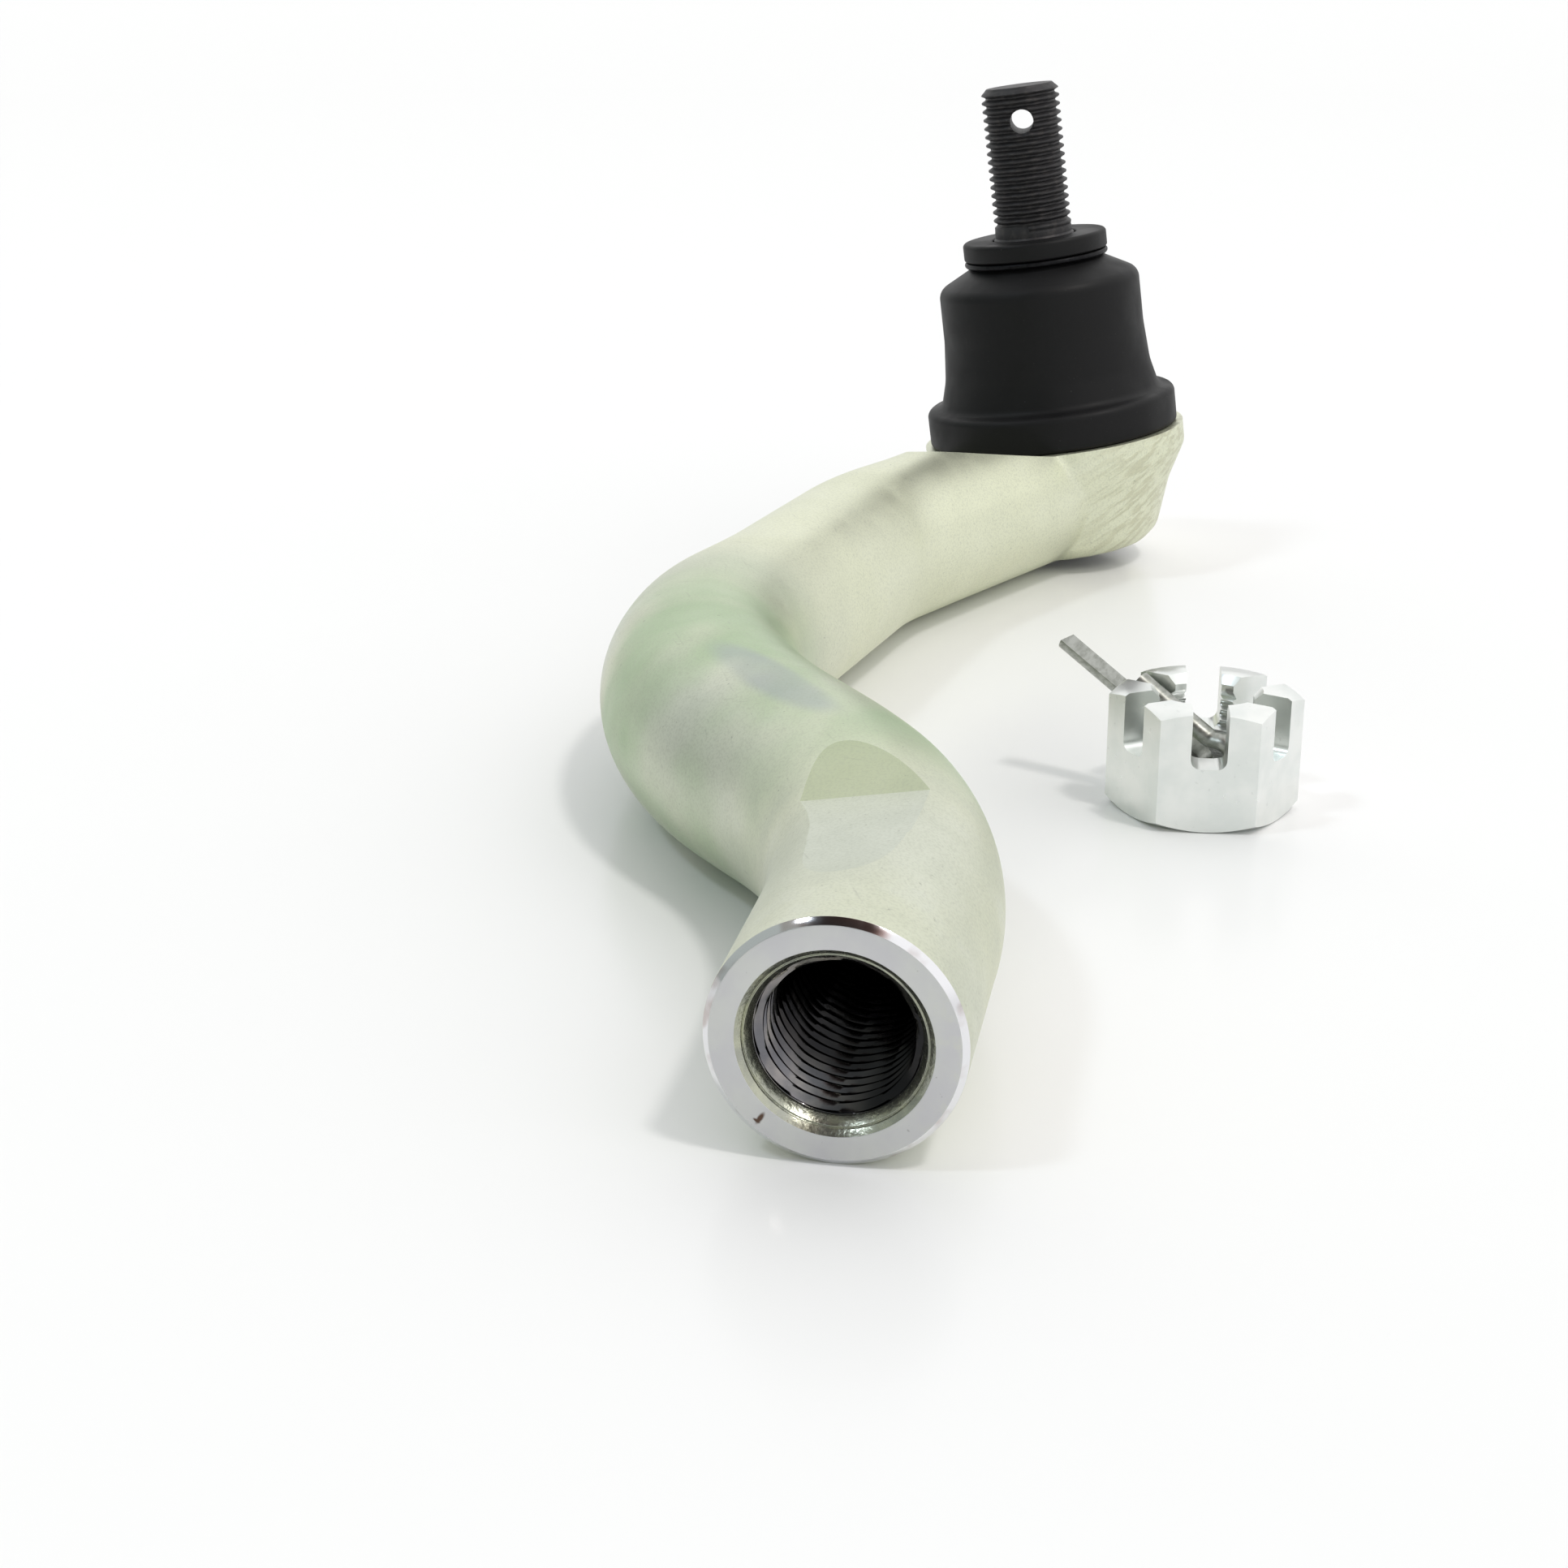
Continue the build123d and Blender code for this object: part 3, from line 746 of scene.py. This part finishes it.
def rod_stations():
    """Places along the rod: (x, y, heading, radius, distance from the ball's centre in plan)."""
    for x, y, heading, distance in rod_path():
        radius = smooth_table(ROD_RADII, distance - ROD_CORNERS[0][0])
        yield x, y, heading, radius, (Vector((x, y)) - BALL.xy).length


def rod_ring(x, y, heading, radius, grow=0.0):
    """One ring across the rod. A grown one still rests on the floor."""
    side = Vector((sin(heading), -cos(heading), 0))
    centre = Vector((x, y, FLOOR_Z + radius + max(0.0, grow)))
    r = radius + grow
    turns = [2 * pi * j / ROD_COLUMNS for j in range(ROD_COLUMNS)]
    return [centre + side * (r * cos(a)) - Vector((0, 0, r * sin(a))) for a in turns]


def forged_rod(materials):
    """Socket, thread and bent rod as one closed skin, from the drill point round to the head."""
    pitch, core = SOCKET_THREAD["pitch"], SOCKET_THREAD["core"]
    skin = Skin(ROD_COLUMNS)
    skin.turn(SOCKET, AXIS_R, SOCKET_THREAD_DEPTH + DRILL_CONE, THREAD)
    skin.cap(THREAD)
    skin.turn(SOCKET, core - 0.05, SOCKET_THREAD_DEPTH + 0.1, THREAD)
    skin.turn(SOCKET, core, SOCKET_THREAD_DEPTH, THREAD)

    def height(turn):
        return max(SOCKET_THREAD_END, SOCKET_THREAD_DEPTH - turn * pitch)

    def radius(turn):
        fade = min(1.0, turn / THREAD_LEAD)
        cut_to = core + (thread_radius(SOCKET_THREAD, turn) - core) * fade
        return max(cut_to, core + (MOUTH_CONE_DEPTH - height(turn)) * MOUTH_CONE_SLOPE)

    turns = int(SOCKET_THREAD_DEPTH / pitch) + 1
    skin.thread(SOCKET, height, radius, turns, per_turn=10, slot=THREAD)
    mouth = rounded(
        (
            (STEP_R - 0.02, 0.02, 0),
            (STEP_R, -MOUTH + 1.55, 0.05),
            (GROOVE_MARK_R - 0.12, -MOUTH + 0.62, 0.05),
            (GROOVE_MARK_R, -MOUTH + 0.72, 0.04),
            (GROOVE_MARK_R + 0.1, -MOUTH + 0.50, 0.04),
            (MOUTH_R, -MOUTH, 0.08),
            (SOCKET_R - FACE_CHAMFER, -MOUTH, 0.10),
            (SOCKET_R, -MOUTH + FACE_CHAMFER, 0.14),
            (SOCKET_R, 8.0, 0),
        ),
        steps=3,
    )
    # each look ends just past the corner that it stops at
    gold_r = MOUTH_R - 0.02
    face_r = SOCKET_R - FACE_CHAMFER + 0.03
    chamfer_height = -MOUTH + FACE_CHAMFER + 0.02
    skin.end_thread(SOCKET, *mouth[0], THREAD)
    for at_radius, at_height in mouth[1:-1]:
        if at_radius < gold_r:
            slot = GOLD
        elif at_radius < face_r:
            slot = FACE
        elif at_height < chamfer_height:
            slot = CHAMFER
        else:
            slot = CHROMATE
        skin.turn(SOCKET, at_radius, at_height, slot)
    side_start = -MOUTH + FACE_CHAMFER + 0.4
    for k in range(1, SOCKET_RINGS + 1):
        skin.turn(SOCKET, SOCKET_R, side_start + k * SOCKET_RING_STEP, CHROMATE)
    for x, y, heading, rod_r, to_ball in list(rod_stations())[1:]:
        if to_ball > ROD_STOP:
            skin.ring(rod_ring(x, y, heading, rod_r), CHROMATE)
    skin.cap(CHROMATE)
    return skin.build("forged_body_finish", materials)


def forged_head(materials):
    """The head's rough forging: a turned body and the root of the rod, melted together."""
    outline = rounded(
        (
            (0, CRIMP_BOTTOM, 0),
            (CRIMP_R, CRIMP_BOTTOM, 0.3),
            (FOOT_R, FOOT_U, 0.8),
            (WAIST_R, WAIST_U, 2.0),
            (FLANGE_R, FLANGE_LOW, 1.2),
            (FLANGE_R, COLLAR_TOP + HEAD_SPARE, 0),
            (0, COLLAR_TOP + HEAD_SPARE, 0),
        )
    )
    head = lathe("head_forging", HEAD, outline, materials, HEAD_COLUMNS)
    stub = Skin(ROD_COLUMNS)
    for x, y, heading, rod_r, to_ball in rod_stations():
        if STUB_STOP < to_ball < STUB_START:
            flare = max(0.0, (STUB_CROSS - to_ball) / (STUB_CROSS - STUB_FLARED))
            sink = STUB_SINK * max(0.0, to_ball - STUB_CROSS) / (STUB_START - STUB_CROSS)
            stub.ring(rod_ring(x, y, heading, rod_r, STUB_FLARE * flare**2 - sink), CHROMATE)
            if not stub.faces:
                stub.cap(CHROMATE)
    stub.cap(CHROMATE)
    root = stub.build("head_root", materials)
    belly_low = CRIMP_BOTTOM - BELLY_REACH
    belly = (
        (0, CRIMP_BOTTOM),
        (CRIMP_R, CRIMP_BOTTOM),
        (CRIMP_R + BELLY_REACH, belly_low),
        (0, belly_low),
    )
    cut(root, lathe("belly_cut", HEAD, belly, (), HEAD_COLUMNS))
    cut(head, root, "UNION")
    remesh = head.modifiers.new("remesh", "REMESH")
    remesh.mode = "VOXEL"
    remesh.voxel_size = HEAD_VOXEL * MM
    smooth = head.modifiers.new("smooth", "SMOOTH")
    smooth.factor = HEAD_SMOOTHING_SHARE
    smooth.iterations = HEAD_SMOOTHING
    bake_modifiers(head)
    return head


def forged_body():
    """The whole forging, with the surfaces that are machined afterwards."""
    materials = (
        zinc_chromate(),
        mirror_chamfer(),
        face_ring(),
        gold_mouth(),
        oily_thread(),
        zinc_chromate("pressed_slope", (0.42, 0.475, 0.30), 0.62),
        zinc_chromate("pressed_floor", (0.56, 0.60, 0.54), 0.40),
    )
    body = forged_rod(materials)
    head = forged_head(materials)
    cut(body, head, "UNION")
    cavity_top = sqrt(CAVITY_R**2 - LIP_BASE**2)
    turned = rounded(
        (
            (0, CRIMP_BOTTOM - TURNED_LOW, 0),
            (CRIMP_INNER_R + 0.3, CRIMP_BOTTOM - TURNED_LOW, 0),
            (CRIMP_INNER_R, CRIMP_BOTTOM + 0.3, 0),
            (CRIMP_INNER_R, CAP_LOW, 0),
            (CAVITY_R, CAP_LOW, 0),
            (CAVITY_R, 0.5, 2.0),
            (cavity_top, LIP_BASE, 0),
            (LIP_R, LIP_BASE, 0.3),
            (COLLAR_MOUTH_R, COLLAR_TOP, 0.3),
            (COLLAR_R, COLLAR_TOP, 0.5),
            (COLLAR_R, GROOVE_HIGH, 0.15),
            (GROOVE_R, GROOVE_HIGH, 0.15),
            (GROOVE_R, GROOVE_LOW, 0.15),
            (COLLAR_R, GROOVE_LOW, 0.15),
            (COLLAR_R, FLANGE_TOP, 0.3),
            (SPOTFACE_R, FLANGE_TOP, 1.5),
            (SPOTFACE_OUTER_R, FLANGE_TOP + SPOTFACE_RISE, 30.0),
            (SPOTFACE_OUTER_R + TURNED_WIDE, FLANGE_TOP + SPOTFACE_RISE + TURNED_RISE, 0),
            (SPOTFACE_OUTER_R + TURNED_WIDE, TURNED_TOP, 0),
            (0, TURNED_TOP, 0),
        ),
        steps=4,
    )
    cut(body, lathe("turned_cut", HEAD, turned, materials, TURNED_COLUMNS))
    cut(body, press_tool(materials))
    body.data = tidy(body.data, BODY_SHARP)
    outline_press(body.data)
    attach(body, "housing")
    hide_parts("forged_body")


def press_profile(across):
    """The press's lower line at a distance across it: (x, height), front to back."""
    crease = PRESS_CREASE + PRESS_SKEW * across
    low = PRESS_DEPTH + (PRESS_CREASE - crease) * PRESS_TILT
    line = [(x, CROWN_Z - depth) for x, depth in (*PRESS_FLOOR, (crease, low))]
    return [*line, (crease - PRESS_RUN, CROWN_Z - low + PRESS_RUN * PRESS_SLOPE)]


def press_place():
    return basis((0, 0, 0), (1, 0, 0), (0, -sin(PRESS_ROLL), cos(PRESS_ROLL)))


def press_tool(materials):
    """A long wedge whose lower faces press the mark into the crown."""
    place, verts = press_place(), []
    for across in (-PRESS_FLANK, PRESS_FLANK):
        line = press_profile(across)
        high = CROWN_Z + PRESS_TALL
        outline = [*line, (line[-1][0], high), (line[0][0], high)]
        verts += [(place @ Vector((x, across, z))) * MM for x, z in outline]
    n = len(outline)
    faces = [tuple(range(n)), tuple(range(2 * n - 1, n - 1, -1))]
    faces += [(i, i + n, (i + 1) % n + n, (i + 1) % n) for i in range(n)]
    return solid("press_tool", verts, faces, materials)


def outline_press(mesh):
    """Keep the pressed mark's outline crisp, and tint its floor greyer and its slope darker and
    greener.
    """
    back = press_place().inverted()
    bm = bmesh.new()
    bm.from_mesh(mesh)

    def near(p):
        return all(low < at / MM < high for at, (low, high) in zip(p, PRESS_BOX))

    for face in bm.faces:
        middle = face.calc_center_median()
        if not near(middle):
            continue
        at = back @ (middle / MM)
        line = press_profile(at.y)
        for (x1, z1), (x2, z2) in zip(line, line[1:]):
            off = at.z - z1 - (z2 - z1) * (at.x - x1) / (x2 - x1)
            if x2 <= at.x < x1 and abs(off) < PRESS_TOLERANCE:
                face.material_index = MARK_SLOPE if x2 == line[-1][0] else MARK_FLOOR
    for edge in bm.edges:
        slots = {face.material_index for face in edge.link_faces}
        if len(slots) > 1 and near(edge.verts[0].co):
            edge.smooth = False
    bm.to_mesh(mesh)
    bm.free()


# ---- dust boot ----------------------------------------------------------------------------------

def dust_boot():
    """One moulded wall: bead, bellied skirt, rounded shoulder, neck groove and lip."""
    inner = BOOT_WAIST_R - BOOT_WALL
    collar = COLLAR_R + BOOT_GAP
    groove = GROOVE_R + BOOT_GAP
    outline = rounded(
        (
            (groove, GROOVE_LOW + BOOT_GAP, 0.1),
            (collar, GROOVE_LOW + BOOT_GAP, 0.1),
            (collar, BOOT_BEAD_LOW, 0.15),
            (BOOT_BEAD_R, BOOT_BEAD_LOW, 0.6),
            (BOOT_BEAD_R, BOOT_BEAD_TOP - 0.2, 1.1),
            (BOOT_SKIRT_R + 0.35, BOOT_SKIRT_U - 0.1, 1.4),
            (BOOT_WAIST_R + 0.55, BOOT_WAIST_U - 6, 9.0),
            (BOOT_WAIST_R + 0.05, BOOT_WAIST_U, 12.0),
            (BOOT_WAIST_R, BOOT_SHOULDER_U, 2.0),
            (BOOT_NECK_R + 0.9, BOOT_NECK_U - 0.6, 1.6),
            (BOOT_NECK_R, BOOT_NECK_U, 0.3),
            (BOOT_NECK_R, BOOT_LIP_LOW, 0.25),
            (BOOT_LIP_R, BOOT_LIP_LOW + 0.1, 0.35),
            (BOOT_LIP_R, BOOT_TOP, 0.6),
            (BOOT_MOUTH_R, BOOT_TOP, 0.3),
            (BOOT_MOUTH_R + 0.2, BOOT_NECK_U, 0.8),
            (BOOT_NECK_R - BOOT_WALL, BOOT_NECK_U - 1.4, 1.0),
            (inner, BOOT_SHOULDER_U - 1.9, 1.4),
            (inner + 0.25, BOOT_WAIST_U - 4, 6.0),
            (BOOT_SKIRT_R - BOOT_WALL, BOOT_SKIRT_U, 2.0),
            (collar, COLLAR_TOP, 0.3),
            (collar, GROOVE_HIGH - BOOT_GAP, 0.1),
            (groove, GROOVE_HIGH - BOOT_GAP, 0.1),
        ),
        closed=True,
        steps=6,
    )
    boot = lathe("dust_boot_finish", HEAD, outline, (boot_rubber(),), BOOT_COLUMNS, closed=True)
    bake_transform(boot)
    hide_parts("dust_boot")


# ---- ball stud ----------------------------------------------------------------------------------

def ball_stud():
    """Ball, neck, taper and cut thread, drilled across for the cotter pin."""
    pitch, crest = STUD_THREAD["pitch"], STUD_THREAD["crest"]
    skin = Skin(STUD_COLUMNS)
    neck_low = sqrt(BALL_R**2 - STUD_NECK_R**2)
    neck_angle = atan2(STUD_NECK_R, neck_low)
    for k in range(1, BALL_RINGS + 1):
        a = pi - (pi - neck_angle) * k / BALL_RINGS
        skin.turn(HEAD, BALL_R * sin(a), BALL_R * cos(a))
        if k == 1:
            skin.cap()
    shank = rounded(
        (
            (STUD_NECK_R, neck_low + 0.1, 0),
            (STUD_NECK_R, STUD_NECK_TOP, 2.0),
            (TAPER_LARGE_R, TAPER_LOW, 0.8),
            (TAPER_SMALL_R, TAPER_HIGH, 0.2),
            (crest, TAPER_HIGH + 0.3, 0.1),
            (crest, TAPER_HIGH + 0.9, 0),
        ),
        steps=4,
    )
    for shank_r, shank_height in shank:
        skin.turn(HEAD, shank_r, shank_height)
    start = TAPER_HIGH + 0.95

    def height(turn):
        return min(start + turn * pitch, STUD_TIP - 0.02)

    def radius(turn):
        fade = min(1.0, turn / THREAD_LEAD)
        cut_to = crest - (crest - thread_radius(STUD_THREAD, turn)) * fade
        return min(cut_to, crest - (height(turn) - STUD_TIP + STUD_CHAMFER))

    skin.thread(HEAD, height, radius, int((STUD_TIP - start) / pitch) + 1, per_turn=10)
    tip_r = crest - STUD_CHAMFER
    skin.end_thread(HEAD, tip_r, STUD_TIP - 0.01)
    skin.turn(HEAD, tip_r - 0.15, STUD_TIP)
    skin.turn(HEAD, tip_r - 0.4, STUD_TIP)
    skin.cap()
    phosphate = black_phosphate()
    stud = skin.build("ball_stud_finish", (phosphate,))

    across = Vector((cos(COTTER_HOLE_TURN), sin(COTTER_HOLE_TURN), 0))
    across = across - HEAD_UP * across.dot(HEAD_UP)
    hole = basis(BALL + HEAD_UP * (STUD_TIP - COTTER_HOLE_DROP), HEAD_UP, across)
    sink_r, end = COTTER_HOLE_R + COTTER_SINK + COTTER_PAST, crest + COTTER_PAST
    outline = (
        (0, -end),
        (sink_r, -end),
        (COTTER_HOLE_R, -crest + COTTER_SINK + 0.2),
        (COTTER_HOLE_R, crest - COTTER_SINK - 0.2),
        (sink_r, end),
        (0, end),
    )
    cut(stud, lathe("cotter_drill", hole, outline, (phosphate,), DRILL_COLUMNS))
    stud.data = tidy(stud.data, STUD_SHARP)
    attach(stud, "stud")
    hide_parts("ball_stud")


# ---- castle nut ---------------------------------------------------------------------------------

def prism(name, place, corners, low, high, materials):
    """A straight prism over corners given in a place's own plane."""
    n = len(corners)
    verts = [(place @ Vector((x, y, z))) * MM for z in (low, high) for x, y in corners]
    faces = [tuple(reversed(range(n))), tuple(range(n, 2 * n))]
    faces += [(i, (i + 1) % n, (i + 1) % n + n, i + n) for i in range(n)]
    return solid(name, verts, faces, materials)


def castle_nut():
    """Six flats turned off at both ends, six round-bottomed slots and a cut thread."""
    pitch, core = NUT_THREAD["pitch"], NUT_THREAD["core"]
    zinc = (bright_zinc(),)
    corner_r = NUT_FLATS / 2 / cos(pi / 6)
    corners = [pi / 3 * k + pi / 6 for k in range(6)]
    hexagon = [(corner_r * cos(a), corner_r * sin(a)) for a in corners]
    nut = prism("castle_nut_finish", NUT, hexagon, 0, NUT_HEIGHT, zinc)
    face_r = NUT_FLATS / 2 - 0.25
    blank_r = corner_r + 1
    drop = (blank_r - face_r) * NUT_CHAMFER_SLOPE
    turned = (
        (0, 0),
        (face_r, 0),
        (blank_r, drop),
        (blank_r, NUT_HEIGHT - drop),
        (face_r, NUT_HEIGHT),
        (0, NUT_HEIGHT),
    )
    cut(nut, lathe("nut_turning", NUT, turned, zinc, HEAD_COLUMNS), "INTERSECT")
    half, low, high = NUT_SLOT / 2, NUT_HEIGHT - NUT_SLOT_DEPTH, NUT_HEIGHT + NUT_SLOT
    slot = rounded(
        (
            (-half, high, 0),
            (-half, low, NUT_SLOT_ROUND),
            (half, low, NUT_SLOT_ROUND),
            (half, high, 0),
        ),
        steps=6,
    )
    for k in range(3):
        angle = pi / 3 * k
        along = Vector((cos(angle), sin(angle), 0))
        place = NUT @ basis((0, 0, 0), along.cross(Vector((0, 0, 1))), along)
        # the slot's outline stands upright, so its second axis has to be the nut's
        upright = Matrix((place.col[0], NUT.col[2], place.col[2], place.col[3])).transposed()
        cut(nut, prism("slot_tool", upright, slot, -NUT_FLATS, NUT_FLATS, zinc))
    nut_bevel = nut.modifiers.new("bevel", "BEVEL")
    nut_bevel.width = NUT_BEVEL * MM
    nut_bevel.segments = 3
    nut_bevel.limit_method = "ANGLE"
    nut_bevel.angle_limit = NUT_BEVEL_ANGLE
    bake_modifiers(nut)
    # the tap: a 45 degree countersink at each end with the thread between them
    sink = NUT_SINK_R - core
    skin = Skin(TAP_COLUMNS)
    skin.turn(NUT, NUT_SINK_R + 1, -1)
    skin.cap()
    skin.turn(NUT, NUT_SINK_R, 0)
    skin.turn(NUT, core, sink)
    start = sink + 0.05
    turns = int((NUT_HEIGHT - 2 * start) / pitch) - 1

    def height(turn):
        return start + turn * pitch

    def radius(turn):
        return thread_radius(NUT_THREAD, turn)

    skin.thread(NUT, height, radius, turns, per_turn=8)
    skin.end_thread(NUT, core, height(turns + 1) + 0.05)
    skin.turn(NUT, core, NUT_HEIGHT - NUT_SINK_R + core)
    skin.turn(NUT, NUT_SINK_R, NUT_HEIGHT)
    skin.turn(NUT, NUT_SINK_R + 1, NUT_HEIGHT + 1)
    skin.cap()
    cut(nut, skin.build("nut_tap", zinc))
    nut.data = tidy(nut.data, NUT_SHARP)
    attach(nut, "nut")
    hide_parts("castle_nut")


# ---- CAD nodes that keep their shape ------------------------------------------------------------

def dress_cad_nodes():
    """Materials for the enclosed pieces, the boot's rings and the pin."""
    white = acetal()
    looks = {
        "upper_bearing_seat": white,
        "lower_bearing_seat": white,
        "preload_spring": drawn_steel("spring_steel", (0.36, 0.37, 0.39), (0.24, 0.25, 0.27)),
        "end_cap": drawn_steel(
            "phosphated_cap", (0.13, 0.13, 0.135), (0.07, 0.07, 0.075), (0.35, 0.55)
        ),
        "end_cap_seal": seal_rubber(),
        "boot_bead_ring": drawn_steel("ring_steel", (0.32, 0.32, 0.33), (0.22, 0.22, 0.23)),
        "boot_neck_wire": drawn_steel(
            "wire_steel", (0.022, 0.022, 0.024), (0.014, 0.014, 0.015), (0.4, 0.55)
        ),
        "cotter_pin": drawn_steel(
            "pin_steel", (0.40, 0.41, 0.38), (0.27, 0.28, 0.25), (0.25, 0.45)
        ),
    }
    for name, material in looks.items():
        node = frame["nodes"][name]
        node.data.materials.clear()
        node.data.materials.append(material)


# ---- stage --------------------------------------------------------------------------------------

def floor():
    """A wide, plain, slightly glossy white table."""
    n = Nodes("table_top", 0.22, 0.0, (0.92, 0.92, 0.92))
    n.shader.inputs["Specular IOR Level"].default_value = 0.25
    half = FLOOR_HALF
    mesh = bpy.data.meshes.new("table_top")
    corners = ((-half, -half), (half, -half), (half, half), (-half, half))
    mesh.from_pydata([Vector((x, y, FLOOR_Z)) * MM for x, y in corners], [], [(0, 1, 2, 3)])
    mesh.materials.append(n.material)
    shown("table_top", mesh)


def lamp(name, azimuth, elevation, strength, spread, colour):
    """A distant round lamp with soft shadows. Azimuth is from +X towards +Y, in degrees."""
    data = bpy.data.lights.new(name, "SUN")
    data.angle = radians(spread)
    data.energy = strength
    data.color = colour
    lamp_object = bpy.data.objects.new(name, data)
    a, e = radians(azimuth), radians(elevation)
    out = Vector((cos(a) * cos(e), sin(a) * cos(e), sin(e)))
    lamp_object.location = out
    lamp_object.rotation_euler = out.to_track_quat("Z", "Y").to_euler()
    bpy.context.scene.collection.objects.link(lamp_object)


def world():
    """A pale room with bright walls, a dark warm patch of ceiling and a dimmer, greener side."""
    sky = bpy.data.worlds.new("room")
    bpy.context.scene.world = sky
    sky.use_nodes = True
    tree = sky.node_tree
    background = tree.nodes["Background"]
    coordinates = tree.nodes.new("ShaderNodeTexCoord")
    split = tree.nodes.new("ShaderNodeSeparateXYZ")
    tree.links.new(coordinates.outputs["Generated"], split.inputs["Vector"])

    def ramp(source, low, high, bottom, top):
        node = tree.nodes.new("ShaderNodeMapRange")
        node.interpolation_type = "SMOOTHSTEP"
        node.inputs["From Min"].default_value = low
        node.inputs["From Max"].default_value = high
        node.inputs["To Min"].default_value = bottom
        node.inputs["To Max"].default_value = top
        tree.links.new(source, node.inputs["Value"])
        return node.outputs["Result"]

    def times(a, b):
        node = tree.nodes.new("ShaderNodeMath")
        node.operation = "MULTIPLY"
        tree.links.new(a, node.inputs[0])
        tree.links.new(b, node.inputs[1])
        return node.outputs[0]

    def facing(direction, low, high, share):
        """1 where the view's cosine to a direction is low or less, that share where it is high."""
        towards = tree.nodes.new("ShaderNodeVectorMath")
        towards.operation = "DOT_PRODUCT"
        towards.inputs[1].default_value = direction
        tree.links.new(coordinates.outputs["Generated"], towards.inputs[0])
        return ramp(towards.outputs["Value"], low, high, 1.0, share)

    def tinted(share, colour, plain):
        """The colour where share is 0; where it is 1, plain, which is a colour or a socket."""
        node = tree.nodes.new("ShaderNodeMix")
        node.data_type = "RGBA"
        a, b = [s for s in node.inputs if s.type == "RGBA"]
        a.default_value = (*colour, 1)
        if isinstance(plain, tuple):
            b.default_value = (*plain, 1)
        else:
            tree.links.new(plain, b)
        tree.links.new(share, node.inputs[0])
        return [s for s in node.outputs if s.type == "RGBA"][0]

    ceiling = facing((0.38, -0.06, 0.92), 0.86, 0.955, share=0.05)
    dim_side = facing((0.62, -0.75, 0.22), 0.05, 0.85, share=0.44)
    horizon = ramp(split.outputs["Z"], low=-0.05, high=0.30, bottom=0.86, top=1.12)
    tree.links.new(times(times(ceiling, dim_side), horizon), background.inputs["Strength"])
    warm = tinted(ceiling, (1.0, 0.46, 0.36), (1.0, 1.0, 1.0))
    tree.links.new(tinted(dim_side, (0.86, 1.0, 0.92), warm), background.inputs["Color"])


def camera():
    """The view across the socket's open end towards the ball joint."""
    data = bpy.data.cameras.new("camera")
    data.sensor_width = 36
    data.lens = CAMERA_LENS
    data.clip_start, data.clip_end = 0.01, 30
    eye = bpy.data.objects.new("camera", data)
    ahead = CAMERA_HEADING * cos(CAMERA_PITCH) - Vector((0, 0, sin(CAMERA_PITCH)))
    eye.location = CAMERA_PLACE * MM
    eye.rotation_mode = "QUATERNION"
    eye.rotation_quaternion = ahead.to_track_quat("-Z", "Y")
    bpy.context.scene.collection.objects.link(eye)
    bpy.context.scene.camera = eye


# ---- the scene ----------------------------------------------------------------------------------

forged_body()
dust_boot()
ball_stud()
castle_nut()
dress_cad_nodes()
floor()
world()
lamp("lamp_right", azimuth=62, elevation=64, strength=0.74, spread=7, colour=(1.0, 0.97, 0.94))
lamp("lamp_left", azimuth=-62, elevation=57, strength=0.36, spread=7, colour=(0.80, 0.90, 1.0))
camera()
bpy.context.scene.view_settings.view_transform = "Standard"
bpy.context.scene.view_settings.look = "None"
